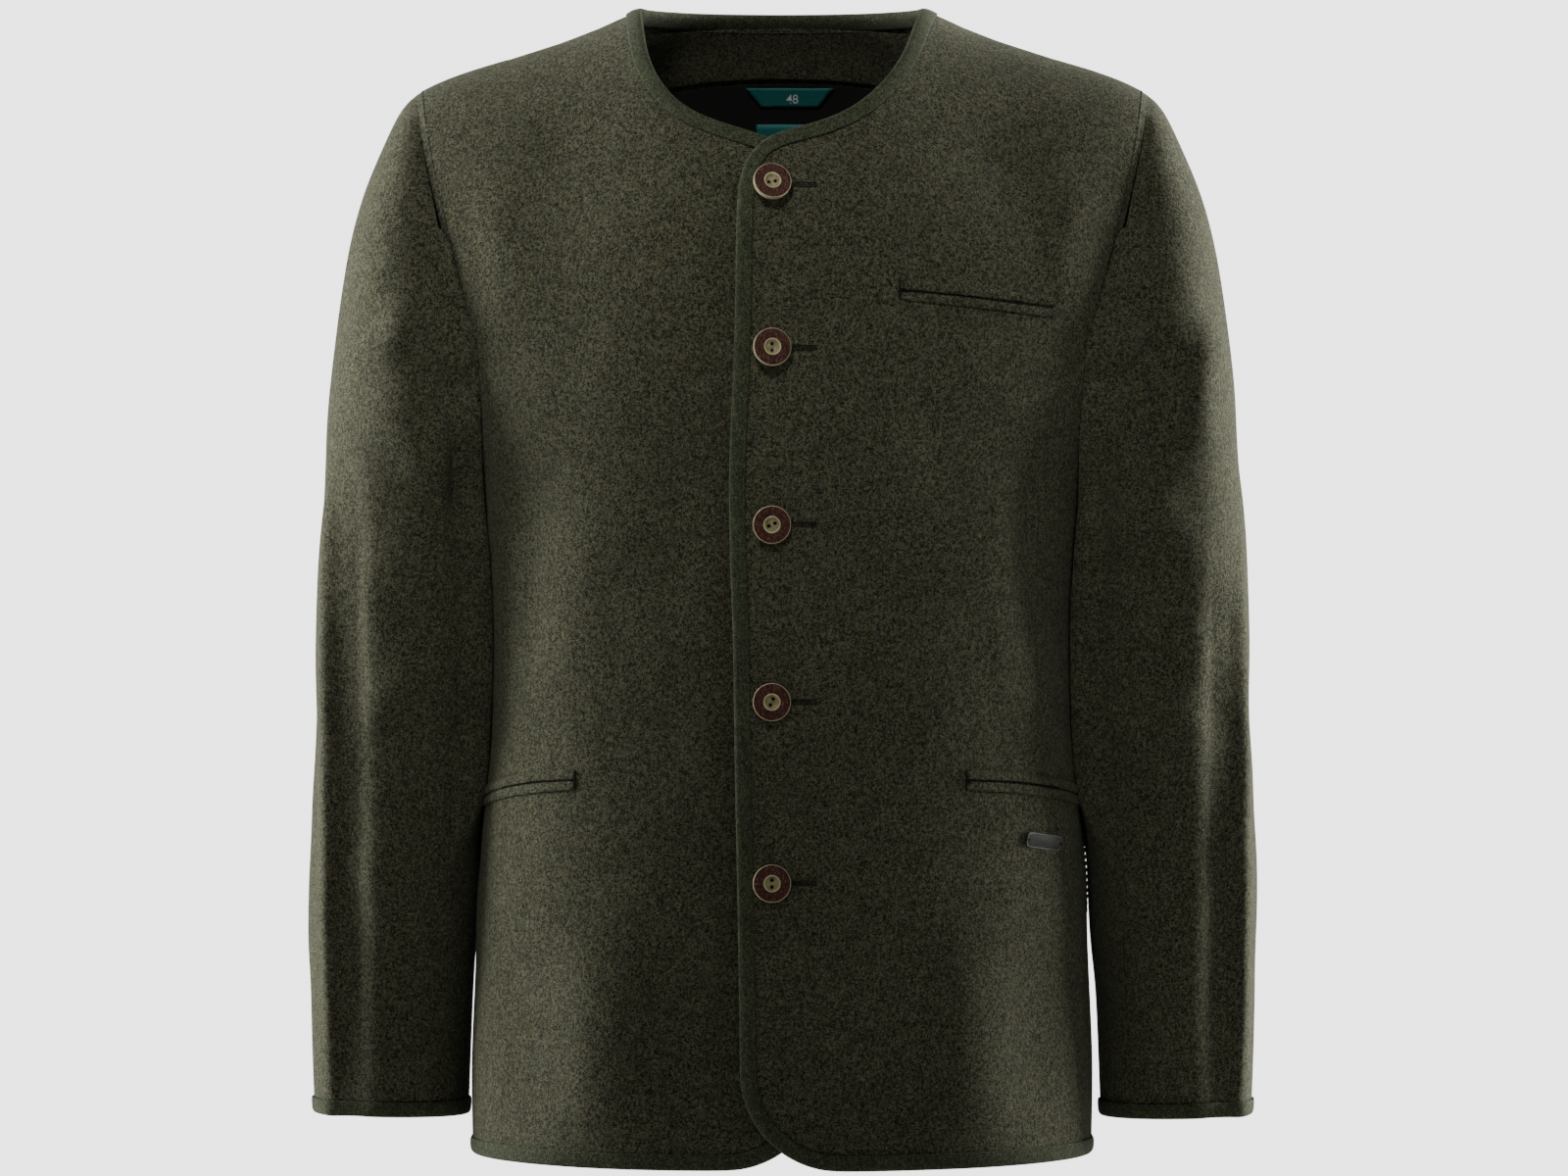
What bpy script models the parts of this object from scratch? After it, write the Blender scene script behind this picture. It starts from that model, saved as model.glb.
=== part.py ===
# Trachten jacket in worn form, without a wearer: collarless, single-breasted, bound edges.
# Metres, +Z up, front faces -Y, the wearer's left is +X. The origin lies between the
# two neck points of the shoulder seams, where the wearer's shoulders carry the jacket.

import math

import bmesh
import bpy
from mathutils import Matrix, Vector
from mathutils.bvhtree import BVHTree

for old in list(bpy.data.objects):
    bpy.data.objects.remove(old, do_unlink=True)

# Cloth and seams
cloth = 0.0020
seam_gap = 0.0003
strip_gap = 0.00068
neck_strip_gap = 0.0014
felt = 0.0010
binding_width = 0.0088

# Overall cut
hem_height = -0.7235
side_hem_height = -0.7210
back_hem_height = -0.7200
neck_half_width = 0.0905
neck_point_height = -0.0015
cap_front = 0.240
cap_back = 0.215
front_lift = 0.0032
lift_from = 0.100
lift_until = 0.034
hem_corner_radius = 0.060
side_seam_turn = 0.04
back_neck_height = -0.0006
near_seam = 0.0045

# Grid sizes of the panels
front_columns = 12
back_columns = 18
back_rows = 28
neck_columns = 5
side_rows = 15
corner_rows = 7
edge_rows = 16
neck_rows = 12
neck_crowding = 1.8

# Buttons
button_radius = 0.0117
button_thickness = 0.0030
button_x = -0.0062
button_stand = 0.0016
button_clear = 0.0005

body_rows = (
    ("height", "half_width", "front", "back", "squareness"),
    (-0.740, 0.1960, 0.1235, 0.1270, 2.30),
    (-0.714, 0.1960, 0.1235, 0.1270, 2.30),
    (-0.675, 0.1970, 0.1235, 0.1270, 2.30),
    (-0.646, 0.1960, 0.1235, 0.1260, 2.30),
    (-0.584, 0.1930, 0.1230, 0.1230, 2.32),
    (-0.528, 0.1905, 0.1225, 0.1180, 2.34),
    (-0.496, 0.1875, 0.1220, 0.1150, 2.36),
    (-0.450, 0.1845, 0.1215, 0.1110, 2.38),
    (-0.400, 0.1840, 0.1220, 0.1100, 2.40),
    (-0.342, 0.1880, 0.1245, 0.1150, 2.40),
    (-0.300, 0.1930, 0.1265, 0.1210, 2.40),
    (-0.250, 0.2060, 0.1280, 0.1270, 2.40),
    (-0.200, 0.2240, 0.1280, 0.1310, 2.40),
    (-0.150, 0.2430, 0.1270, 0.1310, 2.40),
    (-0.100, 0.2630, 0.1250, 0.1290, 2.40),
    (-0.060, 0.2850, 0.1230, 0.1270, 2.40),
    (0.000, 0.3200, 0.1200, 0.1240, 2.40),
)

# Height of the shoulder line, from the middle outwards
shoulder_rows = (
    ("across", "height"),
    (-0.0300, 0.0270),
    (0.0000, 0.0300),
    (0.0300, 0.0270),
    (0.0600, 0.0165),
    (0.0905, -0.0015),
    (0.1045, -0.0076),
    (0.1164, -0.0136),
    (0.1426, -0.0229),
    (0.1727, -0.0322),
    (0.2114, -0.0446),
    (0.2307, -0.0539),
    (0.2600, -0.0800),
)

# Armhole from the shoulder point down to the underarm: half width in the front and back view
armhole_rows = (
    ("height", "front_x", "back_x"),
    (-0.0545, 0.2315, 0.2315),
    (-0.0820, 0.2270, 0.2275),
    (-0.1050, 0.2220, 0.2235),
    (-0.1345, 0.2148, 0.2175),
    (-0.1657, 0.2068, 0.2105),
    (-0.1895, 0.2000, 0.2045),
    (-0.2145, 0.1947, 0.1990),
    (-0.2425, 0.1907, 0.1945),
    (-0.2700, 0.1905, 0.1925),
    (-0.2880, 0.1922, 0.1926),
    (-0.2970, 0.1931, 0.1931),
)

# Front edge of the upper and of the under panel
front_edge_rows = (
    ("height", "upper_x", "under_x"),
    (-0.7300, -0.0245, 0.0250),
    (-0.6500, -0.0245, 0.0250),
    (-0.5850, -0.0254, 0.0240),
    (-0.4750, -0.0275, 0.0230),
    (-0.4000, -0.0285, 0.0225),
    (-0.3300, -0.0310, 0.0220),
    (-0.2900, -0.0310, 0.0220),
    (-0.2300, -0.0280, 0.0220),
    (-0.1400, -0.0265, 0.0220),
    (-0.0900, -0.0262, 0.0220),
)

# Neckline from the neck point down to the rounded top corner of the front edge
neckline_rows = (
    ("step", "upper_x", "upper_z", "under_x", "under_z"),
    (0.0, 0.0905, -0.0015, -0.0905, -0.0015),
    (1.0, 0.0842, -0.0150, -0.0885, -0.0170),
    (2.0, 0.0792, -0.0300, -0.0845, -0.0380),
    (3.0, 0.0700, -0.0468, -0.0742, -0.0580),
    (4.0, 0.0560, -0.0625, -0.0580, -0.0730),
    (5.0, 0.0385, -0.0755, -0.0390, -0.0806),
    (6.0, 0.0170, -0.0830, -0.0190, -0.0866),
    (7.0, -0.0045, -0.0868, -0.0010, -0.0925),
    (8.0, -0.0160, -0.0950, 0.0130, -0.1015),
    (9.0, -0.0232, -0.1070, 0.0200, -0.1145),
    (10.0, -0.0262, -0.1200, 0.0220, -0.1280),
)

# Sleeve rings from the armhole to the cuff: the outer point is on the silhouette,
# the inner point hangs beside the body
sleeve_rows = (
    ("outer_x", "outer_z", "inner_x", "inner_z", "centre_y", "depth", "own_shape"),
    (0.2345, -0.0560, 0.1938, -0.2972, 0.0020, 0.0700, 0.00),
    (0.2420, -0.0640, 0.1950, -0.3005, 0.0020, 0.0735, 0.15),
    (0.2480, -0.0750, 0.1958, -0.3060, 0.0020, 0.0760, 0.32),
    (0.2560, -0.0940, 0.1962, -0.3140, 0.0020, 0.0780, 0.50),
    (0.2665, -0.1190, 0.1962, -0.3240, 0.0020, 0.0790, 0.68),
    (0.2745, -0.1500, 0.1945, -0.3360, 0.0022, 0.0785, 0.82),
    (0.2800, -0.1850, 0.1918, -0.3500, 0.0026, 0.0770, 0.93),
    (0.2850, -0.2250, 0.1890, -0.3660, 0.0032, 0.0750, 1.00),
    (0.2895, -0.2650, 0.1874, -0.3850, 0.0040, 0.0730, 1.00),
    (0.2925, -0.3050, 0.1867, -0.4060, 0.0050, 0.0710, 1.00),
    (0.2950, -0.3500, 0.1866, -0.4330, 0.0062, 0.0690, 1.00),
    (0.2965, -0.3980, 0.1876, -0.4640, 0.0076, 0.0665, 1.00),
    (0.2980, -0.4480, 0.1902, -0.4990, 0.0092, 0.0640, 1.00),
    (0.2993, -0.5000, 0.1936, -0.5370, 0.0112, 0.0610, 1.00),
    (0.3002, -0.5500, 0.1956, -0.5750, 0.0134, 0.0580, 1.00),
    (0.3007, -0.6000, 0.1984, -0.6140, 0.0158, 0.0545, 1.00),
    (0.3002, -0.6500, 0.2003, -0.6560, 0.0182, 0.0505, 1.00),
    (0.2985, -0.6990, 0.2020, -0.7000, 0.0205, 0.0465, 1.00),
)
sleeve_rings = 18
sleeve_around = 28
sleeve_squareness = 2.25
# The under sleeve lies between these two places of the ring, counted from the underarm
forearm_seam = 4
hindarm_seam = 21
sleeve_seam_gap = 0.0003
armhole_gap = 0.0008
left_sleeve_back = 0.0
right_sleeve_back = 0.014
right_sleeve_in = 0.0025

buttons = (
    ("height", "turn", "tilt"),
    (-0.1195, 15.0, 9.0),
    (-0.2198, 90.0, 7.0),
    (-0.3280, 25.0, 2.0),
    (-0.4368, 65.0, 1.0),
    (-0.5480, 90.0, 1.0),
)
button_sides = 16
thread_hole_radius = 0.0008
thread_hole_apart = 0.0034
buttonhole_out = 0.0262
buttonhole_cord = 0.0009

# Pockets, plate and inside pieces
lying_gap = 0.0005
inside_gap = 0.0014
welt_width = 0.0062
welt_slit = 0.0007
welt_thickness = 0.0013
breast_pocket_inner = 0.0722
breast_pocket_inner_height = -0.1843
breast_pocket_outer = 0.1665
breast_pocket_outer_height = -0.1937
left_pocket_x = 0.1135
right_pocket_x = -0.1275
lower_pocket_height = -0.4855
lower_pocket_drop = 0.0130
lower_pocket_end = 84.0
plate_length = 0.0222
plate_height = 0.0093
plate_thickness = 0.0009
plate_x = 0.1610
plate_z = -0.5233
plate_tilt = 4.0
plate_stand = 0.0007
facing_rows = (23.9, 24.4, 24.9, 25.4, 25.8)
lining_rows = (19, 20, 21, 22, 23, 23.8)
facing_cloth = 0.0012
lining_cloth = 0.0008
label_x = 0.0050
size_tab_height = -0.0430
size_tab_tall = 0.0120
size_tab_top = 0.0580
size_tab_low = 0.0380
bare_label_height = -0.0640
bare_label_tall = 0.0300
bare_label_wide = 0.0440
label_stand = 0.0034
label_cloth = 0.0006


def steps_of(rows, name):
    column = rows[0].index(name)
    return [row[column] for row in rows[1:]]


def smooth(rows, name, along, at):
    xs = steps_of(rows, along)
    ys = steps_of(rows, name)
    if xs[0] > xs[-1]:
        xs = xs[::-1]
        ys = ys[::-1]
    at = min(max(at, xs[0]), xs[-1])
    k = 0
    while k < len(xs) - 2 and at > xs[k + 1]:
        k += 1

    def slope(i):
        left = (ys[i] - ys[i - 1]) / (xs[i] - xs[i - 1]) if i > 0 else None
        right = (ys[i + 1] - ys[i]) / (xs[i + 1] - xs[i]) if i < len(xs) - 1 else None
        if left is None:
            return right
        if right is None:
            return left
        return 2 * left * right / (left + right) if left * right > 0 else 0.0

    width = xs[k + 1] - xs[k]
    t = (at - xs[k]) / width
    start = slope(k) * width
    end = slope(k + 1) * width
    return (
        ys[k] * (2 * t**3 - 3 * t**2 + 1)
        + start * (t**3 - 2 * t**2 + t)
        + ys[k + 1] * (3 * t**2 - 2 * t**3)
        + end * (t**3 - t**2)
    )


def blend(a, b, t):
    return a + (b - a) * t


def ease(t):
    t = min(max(t, 0.0), 1.0)
    return t * t * (3 - 2 * t)


def shoulder_height(x):
    return smooth(shoulder_rows, "height", "across", abs(x))


def form(angle, height, lift=0.0):
    # A point of the outer form. The angle is 0 at centre front, 90 at the side and 180 behind.
    power = 2 / smooth(body_rows, "squareness", "height", height)
    half = smooth(body_rows, "half_width", "height", height)
    side = math.sin(math.radians(angle))
    facing = math.cos(math.radians(angle))
    x = half * math.copysign(abs(side) ** power, side)
    is_front = facing > 0
    depth = smooth(body_rows, "front" if is_front else "back", "height", height)
    cap = cap_front if is_front else cap_back
    below = min(max((shoulder_height(x) - height) / cap, 0.0), 1.0)
    depth *= math.sqrt(max(1 - (1 - below) ** 2, 0.0))
    y = -depth * math.copysign(abs(facing) ** power, facing)
    near_middle = ease((lift_from - abs(x)) / (lift_from - lift_until))
    if is_front:
        y -= lift * near_middle
    return Vector((x, y, height))


def angle_at(x, height, behind=False):
    power = smooth(body_rows, "squareness", "height", height) / 2
    half = smooth(body_rows, "half_width", "height", height)
    side = min(abs(x) / half, 1.0) ** power
    angle = math.copysign(math.degrees(math.asin(side)), x)
    if behind:
        angle = math.copysign(180, x) - angle
    return angle


def slopes(angle, height, lift):
    turn = 0.25
    rise = 0.0006
    across = form(angle + turn, height, lift) - form(angle - turn, height, lift)
    up = form(angle, height + rise, lift) - form(angle, height - rise, lift)
    return across / (2 * turn), up / (2 * rise)


def facing_out(angle, height, lift=0.0):
    across, up = slopes(angle, height, lift)
    return across.cross(up).normalized()


def walk(angle, height, way, distance, lift=0.0):
    # The place on the form that lies a given way and distance from another one.
    pieces = 3
    for _ in range(pieces):
        across, up = slopes(angle, height, lift)
        move = way * (distance / pieces)
        aa = across.dot(across)
        ab = across.dot(up)
        bb = up.dot(up)
        da = across.dot(move)
        db = up.dot(move)
        size = aa * bb - ab * ab
        angle += (da * bb - db * ab) / size
        height += (db * aa - da * ab) / size
    return angle, height


materials = {}


def material(name, colour, roughness, metallic=0.0):
    if name not in materials:
        made = bpy.data.materials.new(name)
        made.use_nodes = True
        shader = made.node_tree.nodes["Principled BSDF"]
        shader.inputs["Base Color"].default_value = (*colour, 1)
        shader.inputs["Roughness"].default_value = roughness
        shader.inputs["Metallic"].default_value = metallic
        made.diffuse_color = (*colour, 1)
        materials[name] = made
    return materials[name]


looks = {
    "loden": ((0.060, 0.062, 0.042), 0.95, 0.0),
    "binding_felt": ((0.034, 0.048, 0.026), 0.95, 0.0),
    "horn": ((0.190, 0.090, 0.050), 0.55, 0.0),
    "cord": ((0.012, 0.014, 0.010), 0.90, 0.0),
    "plate_metal": ((0.420, 0.410, 0.390), 0.35, 1.0),
    "label_weave": ((0.010, 0.170, 0.165), 0.80, 0.0),
    "lining": ((0.012, 0.012, 0.013), 0.75, 0.0),
}

jacket = bpy.data.collections.new("trachten_jacket")
bpy.context.scene.collection.children.link(jacket)


def solid(name, points, faces, look):
    mesh = bpy.data.meshes.new(name)
    mesh.from_pydata([tuple(point) for point in points], [], faces)
    work = bmesh.new()
    work.from_mesh(mesh)
    bmesh.ops.remove_doubles(work, verts=work.verts, dist=0.000002)
    bmesh.ops.recalc_face_normals(work, faces=work.faces)
    if work.calc_volume(signed=True) < 0:
        bmesh.ops.reverse_faces(work, faces=work.faces)
    work.to_mesh(mesh)
    work.free()
    mesh.polygons.foreach_set("use_smooth", [True] * len(mesh.polygons))
    mesh.materials.append(material(look, *looks[look]))
    made = bpy.data.objects.new(name, mesh)
    jacket.objects.link(made)
    return made


def wall(name, outer, inner, look, around=False):
    # A closed wall between two grids of points: both faces and the rim.
    rows = len(outer)
    columns = len(outer[0])
    points = [p for row in outer for p in row] + [p for row in inner for p in row]
    back = rows * columns
    faces = []
    last = columns if around else columns - 1
    for r in range(rows - 1):
        for c in range(last):
            d = (c + 1) % columns
            face = (r * columns + c, r * columns + d, (r + 1) * columns + d, (r + 1) * columns + c)
            faces.append(face)
            faces.append(tuple(back + i for i in reversed(face)))
    for c in range(last):
        d = (c + 1) % columns
        low = (c, back + c, back + d, d)
        top = (rows - 1) * columns
        faces.append(low)
        faces.append((top + c, top + d, back + top + d, back + top + c))
    if not around:
        for r in range(rows - 1):
            a = r * columns
            b = (r + 1) * columns
            faces.append((a, b, back + b, back + a))
            a += columns - 1
            b += columns - 1
            faces.append((a, back + a, back + b, b))
    return solid(name, points, faces, look)


def tube(name, sections, look, closed=False):
    # A bar through a row of closed sections.
    count = len(sections[0])
    points = [p for section in sections for p in section]
    faces = []
    rows = len(sections)
    for r in range(rows if closed else rows - 1):
        s = (r + 1) % rows
        for c in range(count):
            d = (c + 1) % count
            faces.append((r * count + c, r * count + d, s * count + d, s * count + c))
    if not closed:
        faces.append(tuple(range(count)))
        faces.append(tuple((rows - 1) * count + c for c in reversed(range(count))))
    return solid(name, points, faces, look)


# Outlines of the panels as places on the form: (angle, height)


def front_edge(side, height):
    return smooth(front_edge_rows, "upper_x" if side > 0 else "under_x", "height", height)


def inner_outline(side):
    # From the middle of the hem corner up the front edge and along the neckline.
    column = "upper_x" if side > 0 else "under_x"
    rise = "upper_z" if side > 0 else "under_z"
    low = hem_height + hem_corner_radius
    edge = front_edge(side, low)
    places = []
    for k in range(corner_rows):
        turn = math.radians(45 + 45 * k / corner_rows)
        x = edge + side * hem_corner_radius * (1 - math.sin(turn))
        z = low - hem_corner_radius * math.cos(turn)
        places.append((x, z))
    top = smooth(neckline_rows, rise, "step", 10)
    for k in range(edge_rows):
        z = blend(low, top, k / edge_rows)
        places.append((front_edge(side, z), z))
    for k in range(neck_rows + 1):
        step = 10 * (1 - k / neck_rows) ** neck_crowding
        x = smooth(neckline_rows, column, "step", step)
        z = smooth(neckline_rows, rise, "step", step)
        places.append((x, z if k < neck_rows else shoulder_height(x)))
    return [(angle_at(x, z), z) for x, z in places]


def armhole_places(side, behind, count):
    # From the underarm up to the shoulder point, denser towards the underarm.
    column = "back_x" if behind else "front_x"
    heights = steps_of(armhole_rows, "height")
    top = heights[0]
    low = heights[-1]
    places = []
    for k in range(count + 1):
        z = low + (top - low) * (1 - math.cos(math.pi * k / count)) / 2
        x = smooth(armhole_rows, column, "height", z)
        angle = 90.0 if k == 0 else abs(angle_at(x, z))
        if k == count:
            z = shoulder_height(x)
            angle = abs(angle_at(x, z))
        if behind:
            angle = 180 - angle
        places.append((side * angle, z))
    return places


def side_places(side, count):
    low = side_hem_height
    top = steps_of(armhole_rows, "height")[-1]
    return [(side * 90.0, blend(low, top, k / count)) for k in range(count)]


def front_hem(side, column, columns):
    # Along the hem from the middle of the rounded corner to the side seam.
    edge = front_edge(side, hem_height + hem_corner_radius)
    low = hem_height + hem_corner_radius
    corner = edge + side * hem_corner_radius
    corner_angle = abs(angle_at(corner, hem_height))
    part = 4
    if column <= part:
        turn = math.radians(45 - 45 * column / part)
        x = edge + side * hem_corner_radius * (1 - math.sin(turn))
        z = low - hem_corner_radius * math.cos(turn)
        return (angle_at(x, z), z)
    t = (column - part) / (columns - part)
    angle = side * blend(corner_angle * math.copysign(1, corner * side), 90, t)
    return (angle, blend(hem_height, side_hem_height, ease(t)))


def seam_level(angle):
    # Height at which a column of the form reaches the shoulder line.
    x = 0.1
    for _ in range(24):
        height = shoulder_height(x)
        x = abs(form(angle, height).x)
    return height


def front_grid(side):
    inner = inner_outline(side)
    rows = len(inner) - 1
    outer = side_places(side, side_rows) + armhole_places(side, False, rows - side_rows)
    grid = []
    for r in range(rows + 1):
        row = []
        for c in range(front_columns + 1):
            t = c / front_columns
            angle = blend(inner[r][0], outer[r][0], t)
            height = blend(inner[r][1], outer[r][1], t)
            # The lowest rows take up the curve of the hem.
            weight = max(0.0, 1 - r / 7) ** 2
            if weight > 0:
                hem = front_hem(side, c, front_columns)
                low_angle = blend(inner[0][0], outer[0][0], t)
                low_height = blend(inner[0][1], outer[0][1], t)
                angle += (hem[0] - low_angle) * weight
                height += (hem[1] - low_height) * weight
            # The top rows take up the line of the shoulder seam.
            weight = max(0.0, 1 - (rows - r) / 6) ** 2
            if weight > 0:
                straight = blend(inner[-1][1], outer[-1][1], t)
                height += (seam_level(angle) - straight) * weight
            row.append((angle, height))
        grid.append(row)
    return grid


def thick(grid, lift=0.0, seam_shift=0.0):
    # Outer and inner points of a panel. The top row is a shoulder seam, held off its neighbour.
    outer = [[form(a, h, lift) for a, h in row] for row in grid]
    for point in outer[-1]:
        point.y += seam_shift if abs(point.x) > neck_half_width - 0.001 else 0.0
    rows = len(grid) - 1
    columns = len(grid[0]) - 1
    inner = []
    for r in range(rows + 1):
        line = []
        for c in range(columns + 1):
            up = outer[min(r + 1, rows)][c] - outer[max(r - 1, 0)][c]
            along = outer[r][min(c + 1, columns)] - outer[r][max(c - 1, 0)]
            if r == rows and seam_shift:
                # Front and back stand square to the seam, so both rims are upright.
                up = Vector((0, seam_shift, 0))
            away = along.cross(up).normalized()
            if away.dot(outer[r][c] - Vector((0, 0, -0.45))) < 0:
                away.negate()
            angle, height = grid[r][c]
            if shoulder_height(outer[r][c].x) - height > near_seam:
                away = facing_out(angle, height, lift)
            line.append(outer[r][c] - away * cloth)
        inner.append(line)
    return outer, inner


def top_height(angle):
    # Height of the back panel's top edge: the back neck, then the shoulder seam.
    x = 0.1
    for _ in range(24):
        height = shoulder_height(x)
        if x < neck_half_width - 0.00002:
            fall = (x / neck_half_width) ** 3
            height = blend(back_neck_height, neck_point_height, fall)
        x = abs(form(angle, height).x)
    return height


def back_grid():
    half = back_columns // 2
    outlines = {}
    for side in (-1, 1):
        places = side_places(side, side_rows) + armhole_places(side, True, back_rows - side_rows)
        outlines[side] = [(side * (abs(a) + side_seam_turn), h) for a, h in places]
    low = steps_of(armhole_rows, "height")[-1]
    neck_angle = abs(angle_at(neck_half_width, neck_point_height, True))
    neck_t = (180 - neck_angle) / (180 - abs(outlines[1][-1][0]))
    grid = []
    for r in range(back_rows + 1):
        if r <= side_rows:
            level = blend(back_hem_height, low, r / side_rows)
        else:
            rise = math.sin(math.pi / 2 * (r - side_rows) / (back_rows - side_rows))
            level = blend(low, back_neck_height, rise)
        row = []
        for c in range(back_columns + 1):
            side = 1 if c <= half else -1
            steps = abs(c - half)
            if steps <= neck_columns:
                top_t = neck_t * (1 - (1 - steps / neck_columns) ** neck_crowding)
            else:
                top_t = blend(neck_t, 1, (steps - neck_columns) / (half - neck_columns))
            t = blend(steps / half, top_t, ease((r - side_rows) / (back_rows - side_rows)))
            angle, height = outlines[side][r]
            angle = side * blend(180, abs(angle), t)
            height = blend(level, height, ease(t))
            weight = max(0.0, 1 - (back_rows - r) / 6) ** 2
            if weight > 0:
                top_angle = side * blend(180, abs(outlines[side][-1][0]), top_t)
                straight = blend(back_neck_height, outlines[side][-1][1], ease(top_t))
                height += (top_height(top_angle) - straight) * weight
            row.append((angle, height))
        grid.append(row)
    return grid


# The three body panels

panels = {}
for side, name in ((1, "front_left"), (-1, "front_right")):
    grid = front_grid(side)
    outer, inner = thick(grid, front_lift * side, -seam_gap / 2)
    panels[name] = (grid, outer, inner)
    wall(name, outer, inner, "loden")

grid = back_grid()
outer, inner = thick(grid, 0.0, seam_gap / 2)
panels["back"] = (grid, outer, inner)
wall("back", outer, inner, "loden")


def surface(points):
    rows = len(points)
    columns = len(points[0])
    flat = [p for row in points for p in row]
    faces = []
    for r in range(rows - 1):
        for c in range(columns - 1):
            a = r * columns + c
            faces.append((a, a + 1, a + columns + 1, a + columns))
    return BVHTree.FromPolygons(flat, faces)


trees = {name: (surface(panel[1]), surface(panel[2])) for name, panel in panels.items()}


def rest(name, angle, height, behind=False):
    # The point of a panel's outer or inner face at a place of the form, and the way out of it.
    lift = {"front_left": front_lift, "front_right": -front_lift, "back": 0.0}[name]
    out = facing_out(angle, height, lift)
    point = form(angle, height, lift)
    reach = 0.012
    start = point + out * reach if not behind else point - out * reach
    hit = trees[name][1 if behind else 0].ray_cast(start, -out if not behind else out, 2 * reach)[0]
    return (hit if hit else point), out


def folded_strip(point, under, way, end, end_under, near=strip_gap):
    # Section of a felt strip folded round a cloth edge.
    out = (point - under).normalized()
    far = near + felt
    end_out = (end - end_under).normalized()
    return [
        end + end_out * near,
        end + end_out * far,
        point + out * far + way * 0.0004,
        point + out * (near * 0.5) - way * far,
        under - out * (near * 0.5) - way * far,
        under - out * far + way * 0.0004,
        end_under - end_out * far,
        end_under - end_out * near,
        under - out * near - way * near,
        point + out * near - way * near,
    ]


def edge_binding(name, panel, edges, inward, split=1, near=strip_gap):
    # A folded strip along points of a panel's edge.
    stations = []
    for k, (point, under) in enumerate(edges):
        stations.append((point, under, inward[k]))
        if k < len(edges) - 1:
            for part in range(1, split):
                t = part / split
                after = edges[k + 1]
                mixed = (point.lerp(after[0], t), under.lerp(after[1], t))
                stations.append((*mixed, inward[k].lerp(inward[k + 1], t)))
    sections = []
    last = len(stations) - 1
    seam_y = seam_gap / 2 if panel == "back" else -seam_gap / 2
    for k, (point, under, toward) in enumerate(stations):
        out = (point - under).normalized()
        along = (stations[min(k + 1, last)][0] - stations[max(k - 1, 0)][0]).normalized()
        way = out.cross(along).normalized()
        if way.dot(toward - point) < 0:
            way.negate()
        end = trees[panel][0].find_nearest(point + way * binding_width)[0]
        end_under = trees[panel][1].find_nearest(end - out * cloth)[0]
        section = folded_strip(point, under, way, end, end_under, near)
        if abs(point.y) < seam_gap:
            section = [Vector((p.x, seam_y, p.z)) for p in section]
        sections.append(section)
    return tube(name, sections, "binding_felt")


for side, name in ((1, "front_left"), (-1, "front_right")):
    grid, outer, inner = panels[name]
    edges = [(outer[0][c], inner[0][c]) for c in reversed(range(front_columns + 1))]
    inward = [outer[3][c] for c in reversed(range(front_columns + 1))]
    inward[-1] = outer[5][3]
    rows = len(grid)
    edges += [(outer[r][0], inner[r][0]) for r in range(1, rows)]
    inward += [outer[r][3] for r in range(1, rows)]
    word = "left" if side > 0 else "right"
    edge_binding("edge_binding_" + word, name, edges, inward)

grid, outer, inner = panels["back"]
columns = range(back_columns + 1)
edge_binding(
    "hem_binding_back",
    "back",
    [(outer[0][c], inner[0][c]) for c in columns],
    [outer[2][c] for c in columns],
)

grid, outer, inner = panels["back"]
half = back_columns // 2
neck = range(half - neck_columns, half + neck_columns + 1)
edge_binding(
    "neck_binding_back",
    "back",
    [(outer[-1][c], inner[-1][c]) for c in neck],
    [outer[-3][half + round((c - half) * 1.4)] for c in neck],
    split=2,
    near=neck_strip_gap,
)


# Sleeves


def ring_row(step, name):
    # A value of the sleeve table at a place between its rows.
    column = sleeve_rows[0].index(name)
    rows = (("step", "value"),) + tuple(
        (float(k), row[column]) for k, row in enumerate(sleeve_rows[1:])
    )
    return smooth(rows, "value", "step", step)


def armhole_ring(side):
    # The armhole as a ring, from the underarm round the front, over the shoulder and down behind.
    half = sleeve_around // 2
    places = {behind: armhole_places(1, behind, half) for behind in (False, True)}
    ring = [form(*place) for place in places[False]]
    behind = [form(*place) for place in places[True]]
    ring += list(reversed(behind[1:-1]))
    ring[half].y = 0.0
    for point in ring:
        point.x = point.x * side + side * armhole_gap
    return ring


def sleeve_ring(side, step, own):
    half = sleeve_around // 2
    shift = ease(step / (len(sleeve_rows) - 2))
    back = (right_sleeve_back if side < 0 else left_sleeve_back) * shift
    inward = (right_sleeve_in if side < 0 else 0.0) * shift
    outer = Vector((ring_row(step, "outer_x"), 0, ring_row(step, "outer_z")))
    inner = Vector((ring_row(step, "inner_x") - inward, 0, ring_row(step, "inner_z")))
    middle = (outer + inner) / 2
    middle.y = ring_row(step, "centre_y") + back
    reach = (outer - inner) / 2
    depth = ring_row(step, "depth")
    power = 2 / sleeve_squareness
    ring = []
    for k in range(sleeve_around):
        turn = math.pi * k / half
        along = -math.copysign(abs(math.cos(turn)) ** power, math.cos(turn))
        across = -math.copysign(abs(math.sin(turn)) ** power, math.sin(turn))
        point = middle + reach * along + Vector((0, depth * across, 0))
        point.x *= side
        ring.append(point)
    keep = 1 - ring_row(step, "own_shape")
    if keep > 0:
        ring = [point + (own[k][0] - own[k][1]) * keep for k, point in enumerate(ring)]
    return ring


def sleeve_grid(side):
    last = len(sleeve_rows) - 2
    hole = armhole_ring(side)
    plain = sleeve_ring(side, 0.0, [(Vector(), Vector())] * sleeve_around)
    own = list(zip(hole, plain))
    rings = [sleeve_ring(side, last * k / sleeve_rings, own) for k in range(sleeve_rings + 1)]
    rings[0] = hole
    return rings


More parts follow.
